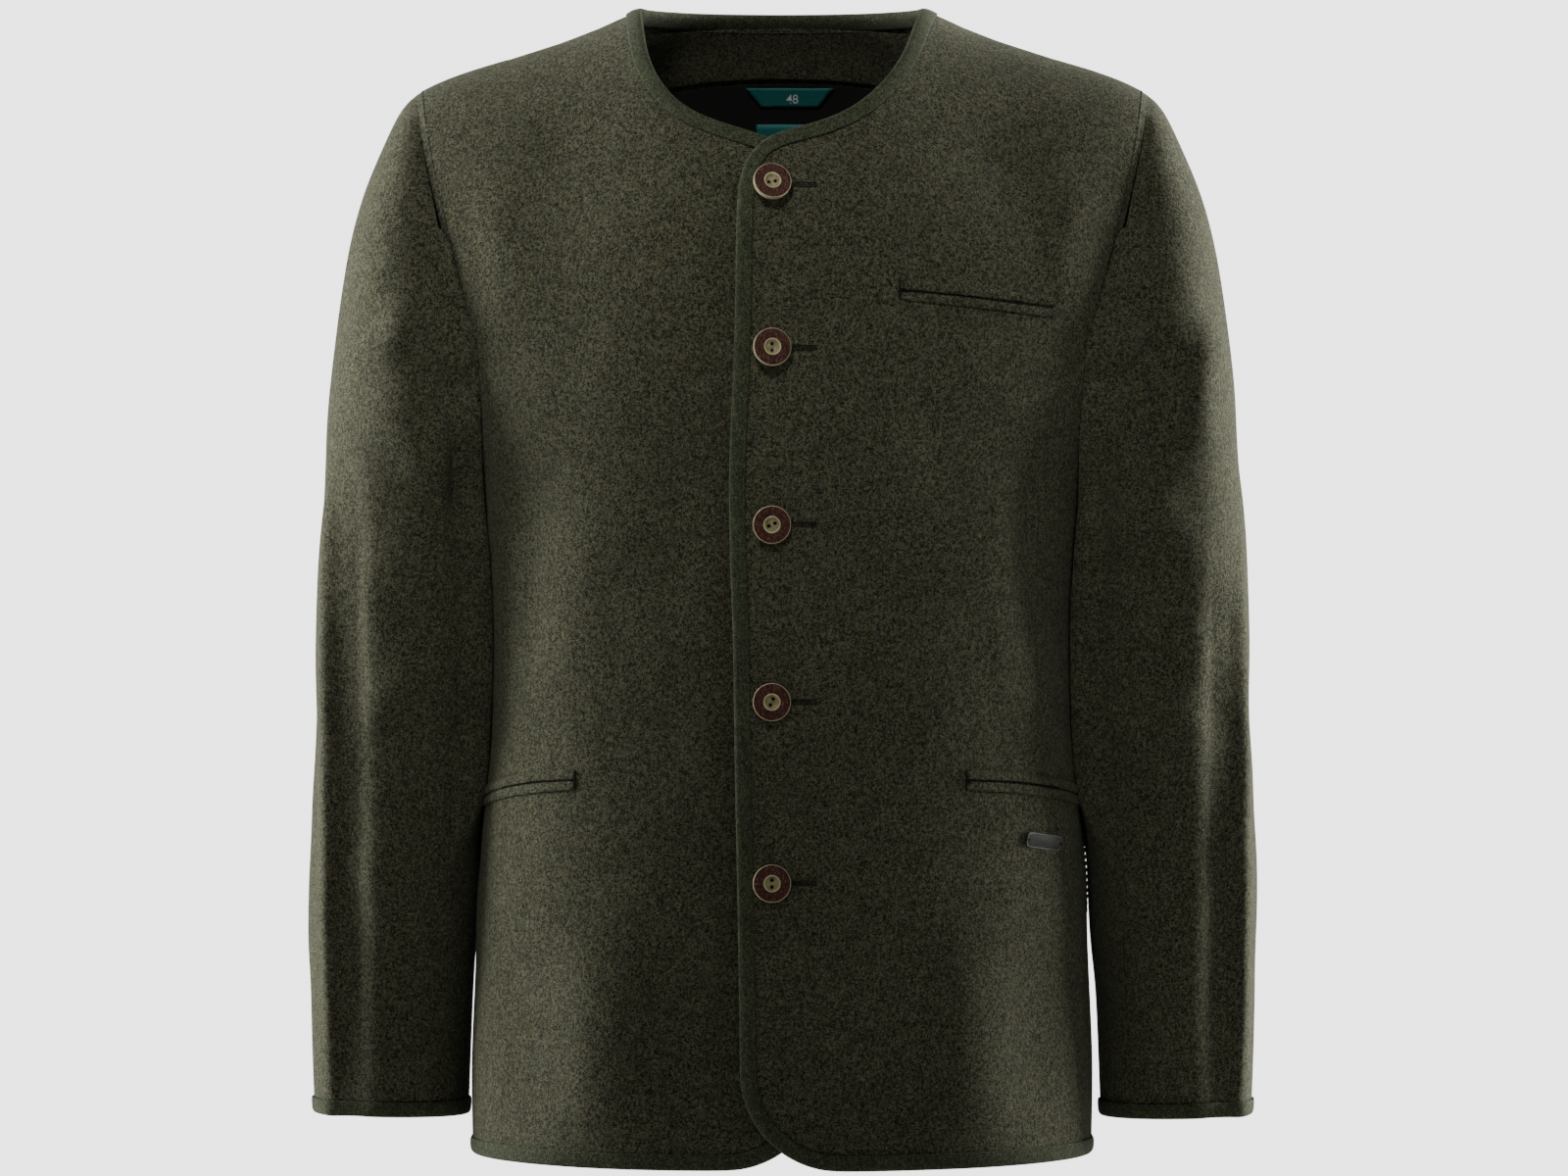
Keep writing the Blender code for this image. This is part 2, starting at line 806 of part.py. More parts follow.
def ring_inside(rings):
    # The inner face of a sleeve: every point moved in by the thickness of the cloth.
    count = sleeve_around
    inside = []
    for r, ring in enumerate(rings):
        middle = sum(ring, Vector()) / count
        line = []
        for c, point in enumerate(ring):
            along = ring[(c + 1) % count] - ring[c - 1]
            down = rings[min(r + 1, len(rings) - 1)][c] - rings[max(r - 1, 0)][c]
            away = along.cross(down).normalized()
            if away.dot(point - middle) < 0:
                away.negate()
            line.append(point - away * cloth)
        inside.append(line)
    return inside


def shortened(line, gap):
    # A row of points with both ends drawn in by half a seam gap.
    line = list(line)
    line[0] = line[0] + (line[1] - line[0]).normalized() * gap / 2
    line[-1] = line[-1] + (line[-2] - line[-1]).normalized() * gap / 2
    return line


def sleeve_binding(name, rings, inside):
    last = len(rings) - 1
    sections = []
    for c in range(sleeve_around):
        point = rings[last][c]
        under = inside[last][c]
        out = (point - under).normalized()
        up = rings[last - 1][c] - point
        way = (up - out * up.dot(out)).normalized()
        share = binding_width / up.length
        end = point.lerp(rings[last - 1][c], share)
        end_under = under.lerp(inside[last - 1][c], share)
        sections.append(folded_strip(point, under, way, end, end_under))
    return tube(name, sections, "binding_felt", closed=True)


sleeves = {}
for side, word in ((1, "left"), (-1, "right")):
    rings = sleeve_grid(side)
    inside = ring_inside(rings)
    sleeves[word] = (rings, inside)
    order = list(range(sleeve_around)) * 2
    top = order[forearm_seam : hindarm_seam + 1]
    under = order[hindarm_seam : sleeve_around + forearm_seam + 1]
    for name, places in (("top_sleeve_", top), ("under_sleeve_", under)):
        wall(
            name + word,
            [shortened([ring[c] for c in places], sleeve_seam_gap) for ring in rings],
            [shortened([ring[c] for c in places], sleeve_seam_gap) for ring in inside],
            "loden",
        )
    sleeve_binding("cuff_binding_" + word, rings, inside)


# Pockets: two rolled welts above and below a slit, lying on the panel


def welt(name, panel, run, offset, height_at):
    # A rounded bar along the slit, moved up or down from it.
    sections = []
    count = len(run)
    half = welt_width / 2
    for k, angle in enumerate(run):
        height = height_at(k / (count - 1))
        before = height_at(max(k - 0.5, 0) / (count - 1))
        after = height_at(min(k + 0.5, count - 1) / (count - 1))
        along = form(run[min(k + 1, count - 1)], after) - form(run[max(k - 1, 0)], before)
        along.normalize()
        out = facing_out(angle, height)
        up = out.cross(along).normalized()
        if up.z < 0:
            up.negate()
        section = []
        for across, rise in ((-1, 0.0), (-0.9, 0.7), (0.0, 1.0), (0.9, 0.7), (1, 0.0)):
            place = walk(angle, height, up, offset + across * half)
            point, away = rest(panel, *place)
            section.append(point + away * (lying_gap + welt_thickness * rise))
        for across in (0.5, -0.5):
            place = walk(angle, height, up, offset + across * half)
            point, away = rest(panel, *place)
            section.append(point + away * lying_gap)
        sections.append(section)
    return tube(name, sections, "loden")


def spaced(start, end, count):
    return [blend(start, end, k / (count - 1)) for k in range(count)]


breast_run = spaced(
    angle_at(breast_pocket_inner, breast_pocket_inner_height),
    angle_at(breast_pocket_outer, breast_pocket_outer_height),
    8,
)
welt_shift = welt_width / 2 + welt_slit / 2
for word, offset in (("upper", welt_shift), ("lower", -welt_shift)):
    welt(
        "breast_pocket_welt_" + word,
        "front_left",
        breast_run,
        offset,
        lambda t: blend(breast_pocket_inner_height, breast_pocket_outer_height, t),
    )
    for side, inner_x, panel in ((1, left_pocket_x, "front_left"), (-1, right_pocket_x, "front_right")):
        run = spaced(angle_at(inner_x, lower_pocket_height), side * lower_pocket_end, 14)
        welt(
            "pocket_welt_" + word + ("_left" if side > 0 else "_right"),
            panel,
            run,
            offset,
            lambda t: lower_pocket_height - lower_pocket_drop * t**1.4,
        )


# Buttons with their corded buttonholes


def button(name, place, turn, tilt):
    out = place[1]
    rings = (
        ("across", "up"),
        (0.00, 0.50),
        (0.38, 0.50),
        (0.46, 0.86),
        (0.62, 1.00),
        (0.93, 0.92),
        (1.00, 0.72),
        (0.97, 0.30),
        (0.80, 0.00),
        (0.00, 0.00),
    )
    work = bmesh.new()
    profile = []
    for across, up in rings[1:]:
        profile.append(work.verts.new((across * button_radius, 0, up * button_thickness)))
    edges = [work.edges.new((a, b)) for a, b in zip(profile, profile[1:])]
    bmesh.ops.spin(
        work,
        geom=profile + edges,
        axis=(0, 0, 1),
        cent=(0, 0, 0),
        steps=button_sides,
        angle=math.tau,
        use_merge=True,
        use_duplicate=False,
    )
    bmesh.ops.remove_doubles(work, verts=work.verts, dist=0.00001)
    bmesh.ops.recalc_face_normals(work, faces=work.faces)
    mesh = bpy.data.meshes.new(name)
    work.to_mesh(mesh)
    work.free()
    mesh.polygons.foreach_set("use_smooth", [True] * len(mesh.polygons))
    mesh.materials.append(material("horn", *looks["horn"]))
    made = bpy.data.objects.new(name, mesh)
    jacket.objects.link(made)
    facing = Matrix((Vector((1, 0, 0)), out.cross(Vector((1, 0, 0))), out)).transposed()
    lean = Matrix.Rotation(math.radians(tilt), 3, Vector((1, -0.8, 0)).normalized())
    frame = facing.to_4x4() @ lean.to_4x4() @ Matrix.Rotation(math.radians(turn), 4, "Z")
    stand = max(button_stand, button_clear + button_radius * math.sin(math.radians(tilt)))
    made.matrix_world = Matrix.Translation(place[0] + out * stand) @ frame
    for k, way in enumerate((-1, 1)):
        bpy.ops.mesh.primitive_cylinder_add(
            vertices=6,
            radius=thread_hole_radius,
            depth=0.012,
            location=(way * thread_hole_apart / 2, 0, 0.001),
        )
        cutter = bpy.context.active_object
        cutter.name = name + "_hole_" + str(k)
        for holder in list(cutter.users_collection):
            holder.objects.unlink(cutter)
        cutters.objects.link(cutter)
        cutter.hide_render = True
        cutter.display_type = "WIRE"
        cutter.matrix_world = made.matrix_world @ cutter.matrix_basis
        hole = made.modifiers.new("hole_" + str(k), "BOOLEAN")
        hole.operation = "DIFFERENCE"
        hole.solver = "EXACT"
        hole.object = cutter
    return made


def buttonhole(name, height):
    # Two cords side by side from beneath the button outwards, joined at the far end.
    sections = []
    for k in range(5):
        x = button_x + blend(0.004, buttonhole_out, k / 4)
        angle = angle_at(x, height)
        section = []
        for across, rise in ((-1, 0), (-0.9, 0.8), (-0.3, 1), (0, 0.45), (0.3, 1), (0.9, 0.8), (1, 0)):
            place = (angle, height + across * buttonhole_cord)
            point, away = rest("front_left", *place)
            section.append(point + away * (lying_gap + buttonhole_cord * 0.8 * rise))
        sections.append(section)
    return tube(name, sections, "cord")


cutters = bpy.data.collections.new("cutters")
bpy.context.scene.collection.children.link(cutters)
for k, (height, turn, tilt) in enumerate(buttons[1:]):
    place = rest("front_left", angle_at(button_x, height), height)
    button("button_" + str(k + 1), place, turn, tilt)
    buttonhole("buttonhole_" + str(k + 1), height)


# Bare metal plate near the lower pocket


def plate():
    middle = (angle_at(plate_x, plate_z), plate_z)
    spot, out = rest("front_left", *middle)
    across = Vector((0, 0, 1)).cross(out).normalized()
    if across.x < 0:
        across.negate()
    up = out.cross(across).normalized()
    lean = Matrix.Rotation(math.radians(plate_tilt), 3, out)
    across = lean @ across
    up = lean @ up
    if up.z < 0:
        up.negate()
    outline = []
    half = plate_length / 2
    rise = plate_height / 2
    corner = plate_height * 0.3
    for x, z, start in ((1, 1, 0), (-1, 1, 90), (-1, -1, 180), (1, -1, 270)):
        for k in range(4):
            turn = math.radians(start + 30 * k)
            u = x * (half - corner) + corner * math.cos(turn)
            v = z * (rise - corner) + corner * math.sin(turn)
            outline.append((u, v))
    low = [spot + across * u + up * v + out * plate_stand for u, v in outline]
    high = [point + out * plate_thickness for point in low]
    return tube("metal_plate", [low, high], "plate_metal")


plate()


# Inside of the back: facing at the neck, lining below it, size tab and bare label


def inner_patch(name, rows, columns, gap, thickness, look):
    under = panels["back"][2]
    face = panels["back"][1]
    near = []
    far = []
    for r in rows:
        low = int(min(r, back_rows - 1))
        t = r - low
        near_row = []
        far_row = []
        for c in columns:
            point = under[low][c].lerp(under[low + 1][c], t)
            away = (point - face[low][c].lerp(face[low + 1][c], t)).normalized()
            near_row.append(point + away * gap)
            far_row.append(point + away * (gap + thickness))
        near.append(near_row)
        far.append(far_row)
    return wall(name, near, far, look)


middle = back_columns // 2
facing_columns = range(middle - 5, middle + 6)
inner_patch("back_facing", facing_rows, facing_columns, inside_gap, facing_cloth, "loden")
inner_patch("back_lining", lining_rows, facing_columns, inside_gap, lining_cloth, "lining")


def label(name, height, tall, wide_top, wide_low):
    # A flat woven piece hanging in front of the facing.
    rows = []
    for t in (0.0, 0.5, 1.0):
        z = height - tall * t
        wide = blend(wide_top, wide_low, t)
        row = []
        for k in range(5):
            x = label_x + wide * (k / 4 - 0.5)
            point, out = rest("back", angle_at(x, z, True), z, behind=True)
            row.append((point, out))
        rows.append(row)
    near = [[p - out * label_stand for p, out in row] for row in rows]
    far = [[p - out * (label_stand + label_cloth) for p, out in row] for row in rows]
    return wall(name, near, far, "label_weave")


label("size_tab", size_tab_height, size_tab_tall, size_tab_top, size_tab_low)
label("bare_label", bare_label_height, bare_label_tall, bare_label_wide, bare_label_wide)
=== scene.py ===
import math

import bmesh
import bpy
import numpy as np
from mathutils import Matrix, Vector
from mathutils.bvhtree import BVHTree
from mathutils.kdtree import KDTree


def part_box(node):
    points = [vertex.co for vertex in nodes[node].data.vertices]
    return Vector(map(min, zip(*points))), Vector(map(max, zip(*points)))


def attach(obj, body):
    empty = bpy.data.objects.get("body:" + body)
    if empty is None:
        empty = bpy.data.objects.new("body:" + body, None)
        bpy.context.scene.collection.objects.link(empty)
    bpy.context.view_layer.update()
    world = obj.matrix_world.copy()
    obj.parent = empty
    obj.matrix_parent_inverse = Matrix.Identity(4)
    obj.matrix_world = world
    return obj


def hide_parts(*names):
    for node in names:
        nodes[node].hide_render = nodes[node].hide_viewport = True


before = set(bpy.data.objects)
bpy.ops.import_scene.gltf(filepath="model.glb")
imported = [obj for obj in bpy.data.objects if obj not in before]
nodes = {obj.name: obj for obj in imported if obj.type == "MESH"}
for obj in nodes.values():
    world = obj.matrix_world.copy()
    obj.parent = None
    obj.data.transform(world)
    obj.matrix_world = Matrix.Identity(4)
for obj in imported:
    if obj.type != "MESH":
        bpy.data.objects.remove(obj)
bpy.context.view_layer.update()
bpy.ops.object.select_all(action="DESELECT")
print("frame loaded")


def newObject(name, data):
    made = bpy.data.objects.new(name, data)
    bpy.context.scene.collection.objects.link(made)
    return made


# camera: a long lens straight in front
view = {"distance": 4.0, "lens": 145.2, "sensor": 36.0, "x": 0.0012, "height": -0.367}
cameraData = bpy.data.cameras.new("camera")
cameraData.lens = view["lens"]
cameraData.sensor_width = view["sensor"]
cameraData.clip_end = 60
camera = newObject("camera", cameraData)
camera.location = (view["x"], -view["distance"], view["height"])
camera.rotation_euler = (math.radians(90), 0, 0)
bpy.context.scene.camera = camera

# studio: pale backdrop, a narrow key light from the upper left and a soft light at each side
studio = {
    "backdrop": 3.25,
    "ambient": 0.120,
    "left": ((-2.5, 0.62, 0.2), 1.4, 112.0),
    "right": ((2.5, 1.05, 0.2), 1.4, 150.0),
    "aim": (0, 0, -0.35),
    "key": {
        "place": (-0.45, -2.2, 1.55),
        "aim": (-0.05, 0.0, -0.11),
        "radius": 0.22,
        "power": 112.0,
        "cone": 18.5,
    },
}


def placeLight(name, data, place, aim):
    light = newObject(name, data)
    light.location = place
    light.rotation_euler = (Vector(aim) - Vector(place)).to_track_quat("-Z", "Y").to_euler()


for name in ("left", "right"):
    place, size, power = studio[name]
    data = bpy.data.lights.new(name, "AREA")
    data.shape = "SQUARE"
    data.size = size
    data.energy = power
    placeLight(name, data, place, studio["aim"])
key = studio["key"]
keyData = bpy.data.lights.new("key", "SPOT")
keyData.energy = key["power"]
keyData.shadow_soft_size = key["radius"]
keyData.spot_size = math.radians(key["cone"])
keyData.spot_blend = 1.0
placeLight("key", keyData, key["place"], key["aim"])

world = bpy.data.worlds.new("studio")
bpy.context.scene.world = world
world.use_nodes = True
worldTree = world.node_tree
background = worldTree.nodes["Background"]
background.inputs["Color"].default_value = (1, 1, 1, 1)
# the backdrop is bright where the camera sees it and lights the cloth more softly
seen = worldTree.nodes.new("ShaderNodeLightPath")
strength = worldTree.nodes.new("ShaderNodeMapRange")
strength.inputs["To Min"].default_value = studio["ambient"]
strength.inputs["To Max"].default_value = studio["backdrop"]
worldTree.links.new(seen.outputs["Is Camera Ray"], strength.inputs["Value"])
worldTree.links.new(strength.outputs[0], background.inputs["Strength"])


def newMaterial(name, roughness=0.9, metallic=0.0, sheen=0.0):
    made = bpy.data.materials.new(name)
    made.use_nodes = True
    shader = made.node_tree.nodes["Principled BSDF"]
    shader.inputs["Roughness"].default_value = roughness
    shader.inputs["Metallic"].default_value = metallic
    shader.inputs["Sheen Weight"].default_value = sheen
    shader.inputs["Sheen Roughness"].default_value = 0.6
    return made, shader


def ramp(tree, source, stops):
    node = tree.nodes.new("ShaderNodeValToRGB")
    elements = node.color_ramp.elements
    while len(elements) < len(stops):
        elements.new(0.5)
    for element, (position, colour) in zip(elements, stops):
        element.position = position
        element.color = (*colour, 1)
    tree.links.new(source, node.inputs[0])
    return node.outputs[0]


def noise(tree, vector, scale, detail=3.0, rough=0.6, stretch=None):
    node = tree.nodes.new("ShaderNodeTexNoise")
    node.inputs["Scale"].default_value = scale
    node.inputs["Detail"].default_value = detail
    node.inputs["Roughness"].default_value = rough
    if stretch:
        mapping = tree.nodes.new("ShaderNodeMapping")
        mapping.inputs["Scale"].default_value = stretch
        tree.links.new(vector, mapping.inputs["Vector"])
        vector = mapping.outputs["Vector"]
    tree.links.new(vector, node.inputs["Vector"])
    return node.outputs[0]


def addBump(tree, shader, height, strength, distance):
    node = tree.nodes.new("ShaderNodeBump")
    node.inputs["Strength"].default_value = strength
    node.inputs["Distance"].default_value = distance
    tree.links.new(height, node.inputs["Height"])
    tree.links.new(node.outputs["Normal"], shader.inputs["Normal"])


def mixColour(tree, kind, amount, first, second):
    node = tree.nodes.new("ShaderNodeMix")
    node.data_type = "RGBA"
    node.blend_type = kind
    for value, name in ((amount, "Factor"), (first, "A"), (second, "B")):
        socket = node.inputs[name]
        if isinstance(value, bpy.types.NodeSocket):
            tree.links.new(value, socket)
        elif isinstance(value, float):
            socket.default_value = value
        else:
            socket.default_value = (*value, 1)
    return node.outputs["Result"]


def mathNode(tree, operation, first, second):
    node = tree.nodes.new("ShaderNodeMath")
    node.operation = operation
    for value, socket in ((first, node.inputs[0]), (second, node.inputs[1])):
        if isinstance(value, bpy.types.NodeSocket):
            tree.links.new(value, socket)
        else:
            socket.default_value = value
    return node.outputs[0]


# fulled wool with mixed fibres, used by the cloth and, in one colour, by the binding
def makeWoolGroup():
    group = bpy.data.node_groups.new("woolFibres", "ShaderNodeTree")
    face = group.interface
    for name in ("Dark", "Middle", "Light", "Warm Fibre", "Cool Fibre"):
        face.new_socket(name, in_out="INPUT", socket_type="NodeSocketColor")
    for name in ("Fleck", "Hairs"):
        face.new_socket(name, in_out="INPUT", socket_type="NodeSocketFloat")
    face.new_socket("Color", in_out="OUTPUT", socket_type="NodeSocketColor")
    face.new_socket("Height", in_out="OUTPUT", socket_type="NodeSocketFloat")
    ins = group.nodes.new("NodeGroupInput")
    outs = group.nodes.new("NodeGroupOutput")
    place = group.nodes.new("ShaderNodeTexCoord").outputs["Object"]
    none = (0, 0, 0)
    full = (1, 1, 1)

    def times(first, second):
        return mathNode(group, "MULTIPLY", first, second)

    def plus(first, second):
        return mathNode(group, "ADD", first, second)

    fine = noise(group, place, 1250, 2, 0.75)
    hair = noise(group, place, 560, 5, 0.8, (1.0, 1.0, 0.6))
    clump = noise(group, place, 95, 3, 0.6)
    patch = noise(group, place, 14, 2, 0.5)
    grain = plus(times(fine, 0.6), times(hair, 0.4))
    # thin curling hairs: the lines along which a noise crosses its middle value
    hairs = None
    for scale, stretch in ((230, (1.0, 1.0, 0.7)), (340, (0.8, 1.0, 1.2)), (450, (1.2, 1.0, 0.9))):
        curl = noise(group, place, scale, 2, 0.5, stretch)
        line = ramp(group, curl, ((0.465, none), (0.500, full), (0.535, none)))
        hairs = line if hairs is None else mathNode(group, "MAXIMUM", hairs, line)
    broken = ramp(group, noise(group, place, 520, 1, 0.5), ((0.42, none), (0.52, full)))
    hairs = times(hairs, broken)
    spread = group.nodes.new("ShaderNodeMapRange")
    spread.inputs["From Min"].default_value = 0.425
    spread.inputs["From Max"].default_value = 0.595
    group.links.new(grain, spread.inputs["Value"])
    level = times(spread.outputs[0], 2.0)
    colour = mixColour(group, "MIX", level, ins.outputs["Dark"], ins.outputs["Middle"])
    above = mathNode(group, "SUBTRACT", level, 1.0)
    colour = mixColour(group, "MIX", above, colour, ins.outputs["Light"])
    for name, scale, stretch, low, high in (
        ("Warm Fibre", 430, None, 0.56, 0.68),
        ("Cool Fibre", 380, (1.3, 1.3, 0.8), 0.57, 0.70),
    ):
        spots = ramp(group, noise(group, place, scale, 2, 0.6, stretch), ((low, none), (high, full)))
        share = times(spots, ins.outputs["Fleck"])
        colour = mixColour(group, "MIX", share, colour, ins.outputs[name])
    colour = mixColour(group, "MIX", times(hairs, ins.outputs["Hairs"]), colour, ins.outputs["Light"])
    # slow clouds of light and shade
    shade = plus(plus(times(clump, 0.45), times(patch, 0.35)), 0.60)
    shadeColour = group.nodes.new("ShaderNodeCombineColor")
    for k in range(3):
        group.links.new(shade, shadeColour.inputs[k])
    colour = mixColour(group, "MULTIPLY", 1.0, colour, shadeColour.outputs[0])
    group.links.new(colour, outs.inputs["Color"])
    relief = plus(plus(grain, times(clump, 0.5)), times(hairs, 0.25))
    group.links.new(relief, outs.inputs["Height"])
    return group


woolGroup = makeWoolGroup()


def woolMaterial(name, colours, fleck, hairs, bump):
    made, shader = newMaterial(name, 0.95, 0.0, 0.16)
    tree = made.node_tree
    wool = tree.nodes.new("ShaderNodeGroup")
    wool.node_tree = woolGroup
    for socket, colour in colours.items():
        wool.inputs[socket].default_value = (*colour, 1)
    wool.inputs["Fleck"].default_value = fleck
    wool.inputs["Hairs"].default_value = hairs
    tree.links.new(wool.outputs["Color"], shader.inputs["Base Color"])
    addBump(tree, shader, wool.outputs["Height"], bump, 0.0012)
    shader.inputs["Sheen Tint"].default_value = (0.75, 0.78, 0.62, 1)
    shader.inputs["Specular IOR Level"].default_value = 0.15
    return made


lodenColours = {
    "Dark": (0.006, 0.007, 0.004),
    "Middle": (0.035, 0.038, 0.019),
    "Light": (0.225, 0.225, 0.138),
    "Warm Fibre": (0.105, 0.074, 0.036),
    "Cool Fibre": (0.060, 0.074, 0.074),
}
feltColours = {
    "Dark": (0.018, 0.023, 0.012),
    "Middle": (0.058, 0.070, 0.037),
    "Light": (0.150, 0.172, 0.098),
    "Warm Fibre": (0.060, 0.058, 0.030),
    "Cool Fibre": (0.038, 0.050, 0.040),
}
loden = woolMaterial("loden", lodenColours, 0.70, 0.75, 0.60)
felt = woolMaterial("bindingFelt", feltColours, 0.25, 0.20, 0.40)
liningColours = dict.fromkeys(lodenColours, (0.010, 0.010, 0.011))
lining = woolMaterial("lining", liningColours, 0.0, 0.0, 0.08)


def plainMaterial(name, colour, roughness, metallic=0.0, scale=400, contrast=0.25, bump=0.2):
    made, shader = newMaterial(name, roughness, metallic)
    tree = made.node_tree
    place = tree.nodes.new("ShaderNodeTexCoord").outputs["Object"]
    spots = noise(tree, place, scale, 4, 0.6)
    dark = tuple(c * (1 - contrast) for c in colour)
    light = tuple(min(1, c * (1 + contrast)) for c in colour)
    tree.links.new(ramp(tree, spots, ((0.3, dark), (0.7, light))), shader.inputs["Base Color"])
    addBump(tree, shader, spots, bump, 0.0004)
    return made


thread = plainMaterial("thread", (0.014, 0.018, 0.011), 0.7, scale=900)
paleThread = plainMaterial("paleThread", (0.085, 0.090, 0.065), 0.7, scale=900)
teal = plainMaterial("tealRibbon", (0.010, 0.170, 0.160), 0.6, scale=1400, contrast=0.3)
white = plainMaterial("whiteWeave", (0.75, 0.77, 0.76), 0.6, scale=1400, contrast=0.1)
steel = plainMaterial("agedSteel", (0.070, 0.069, 0.064), 0.52, 0.3, 700, 0.40, 0.35)
brightSteel = plainMaterial("brightSteel", (0.24, 0.235, 0.22), 0.42, 0.6, 700, 0.30, 0.2)
ivory = plainMaterial("ivory", (0.76, 0.69, 0.41), 0.38, scale=260, contrast=0.22)
# the same ivory darker, painted shade for the inside of the button's dish
paintedDishShade = plainMaterial("ivoryPaintedShade", (0.42, 0.38, 0.19), 0.5, scale=260, contrast=0.4)
cream = plainMaterial("creamRim", (0.62, 0.53, 0.34), 0.42, scale=320, contrast=0.22)
# near black: painted shade in the button holes, the pocket mouths and the plate's sewing holes
paintedRecessShade = plainMaterial("paintedRecessShade", (0.004, 0.003, 0.002), 0.9)


# brown grained ring of the horn buttons
def hornMaterial():
    made, shader = newMaterial("hornGrain", 0.62)
    shader.inputs["Specular IOR Level"].default_value = 0.25
    tree = made.node_tree
    place = tree.nodes.new("ShaderNodeTexCoord").outputs["Object"]
    streaks = noise(tree, place, 420, 6, 0.8, (4.0, 1.0, 0.8))
    browns = ((0.36, (0.012, 0.005, 0.003)), (0.50, (0.078, 0.025, 0.014)), (0.64, (0.220, 0.092, 0.058)))
    pale = ramp(tree, noise(tree, place, 900, 2, 0.6), ((0.60, (0, 0, 0)), (0.68, (1, 1, 1))))
    share = mathNode(tree, "MULTIPLY", pale, 0.75)
    speckled = mixColour(tree, "MIX", share, ramp(tree, streaks, browns), (0.34, 0.22, 0.17))
    tree.links.new(speckled, shader.inputs["Base Color"])
    addBump(tree, shader, streaks, 0.5, 0.0003)
    return made


horn = hornMaterial()
print("materials made")


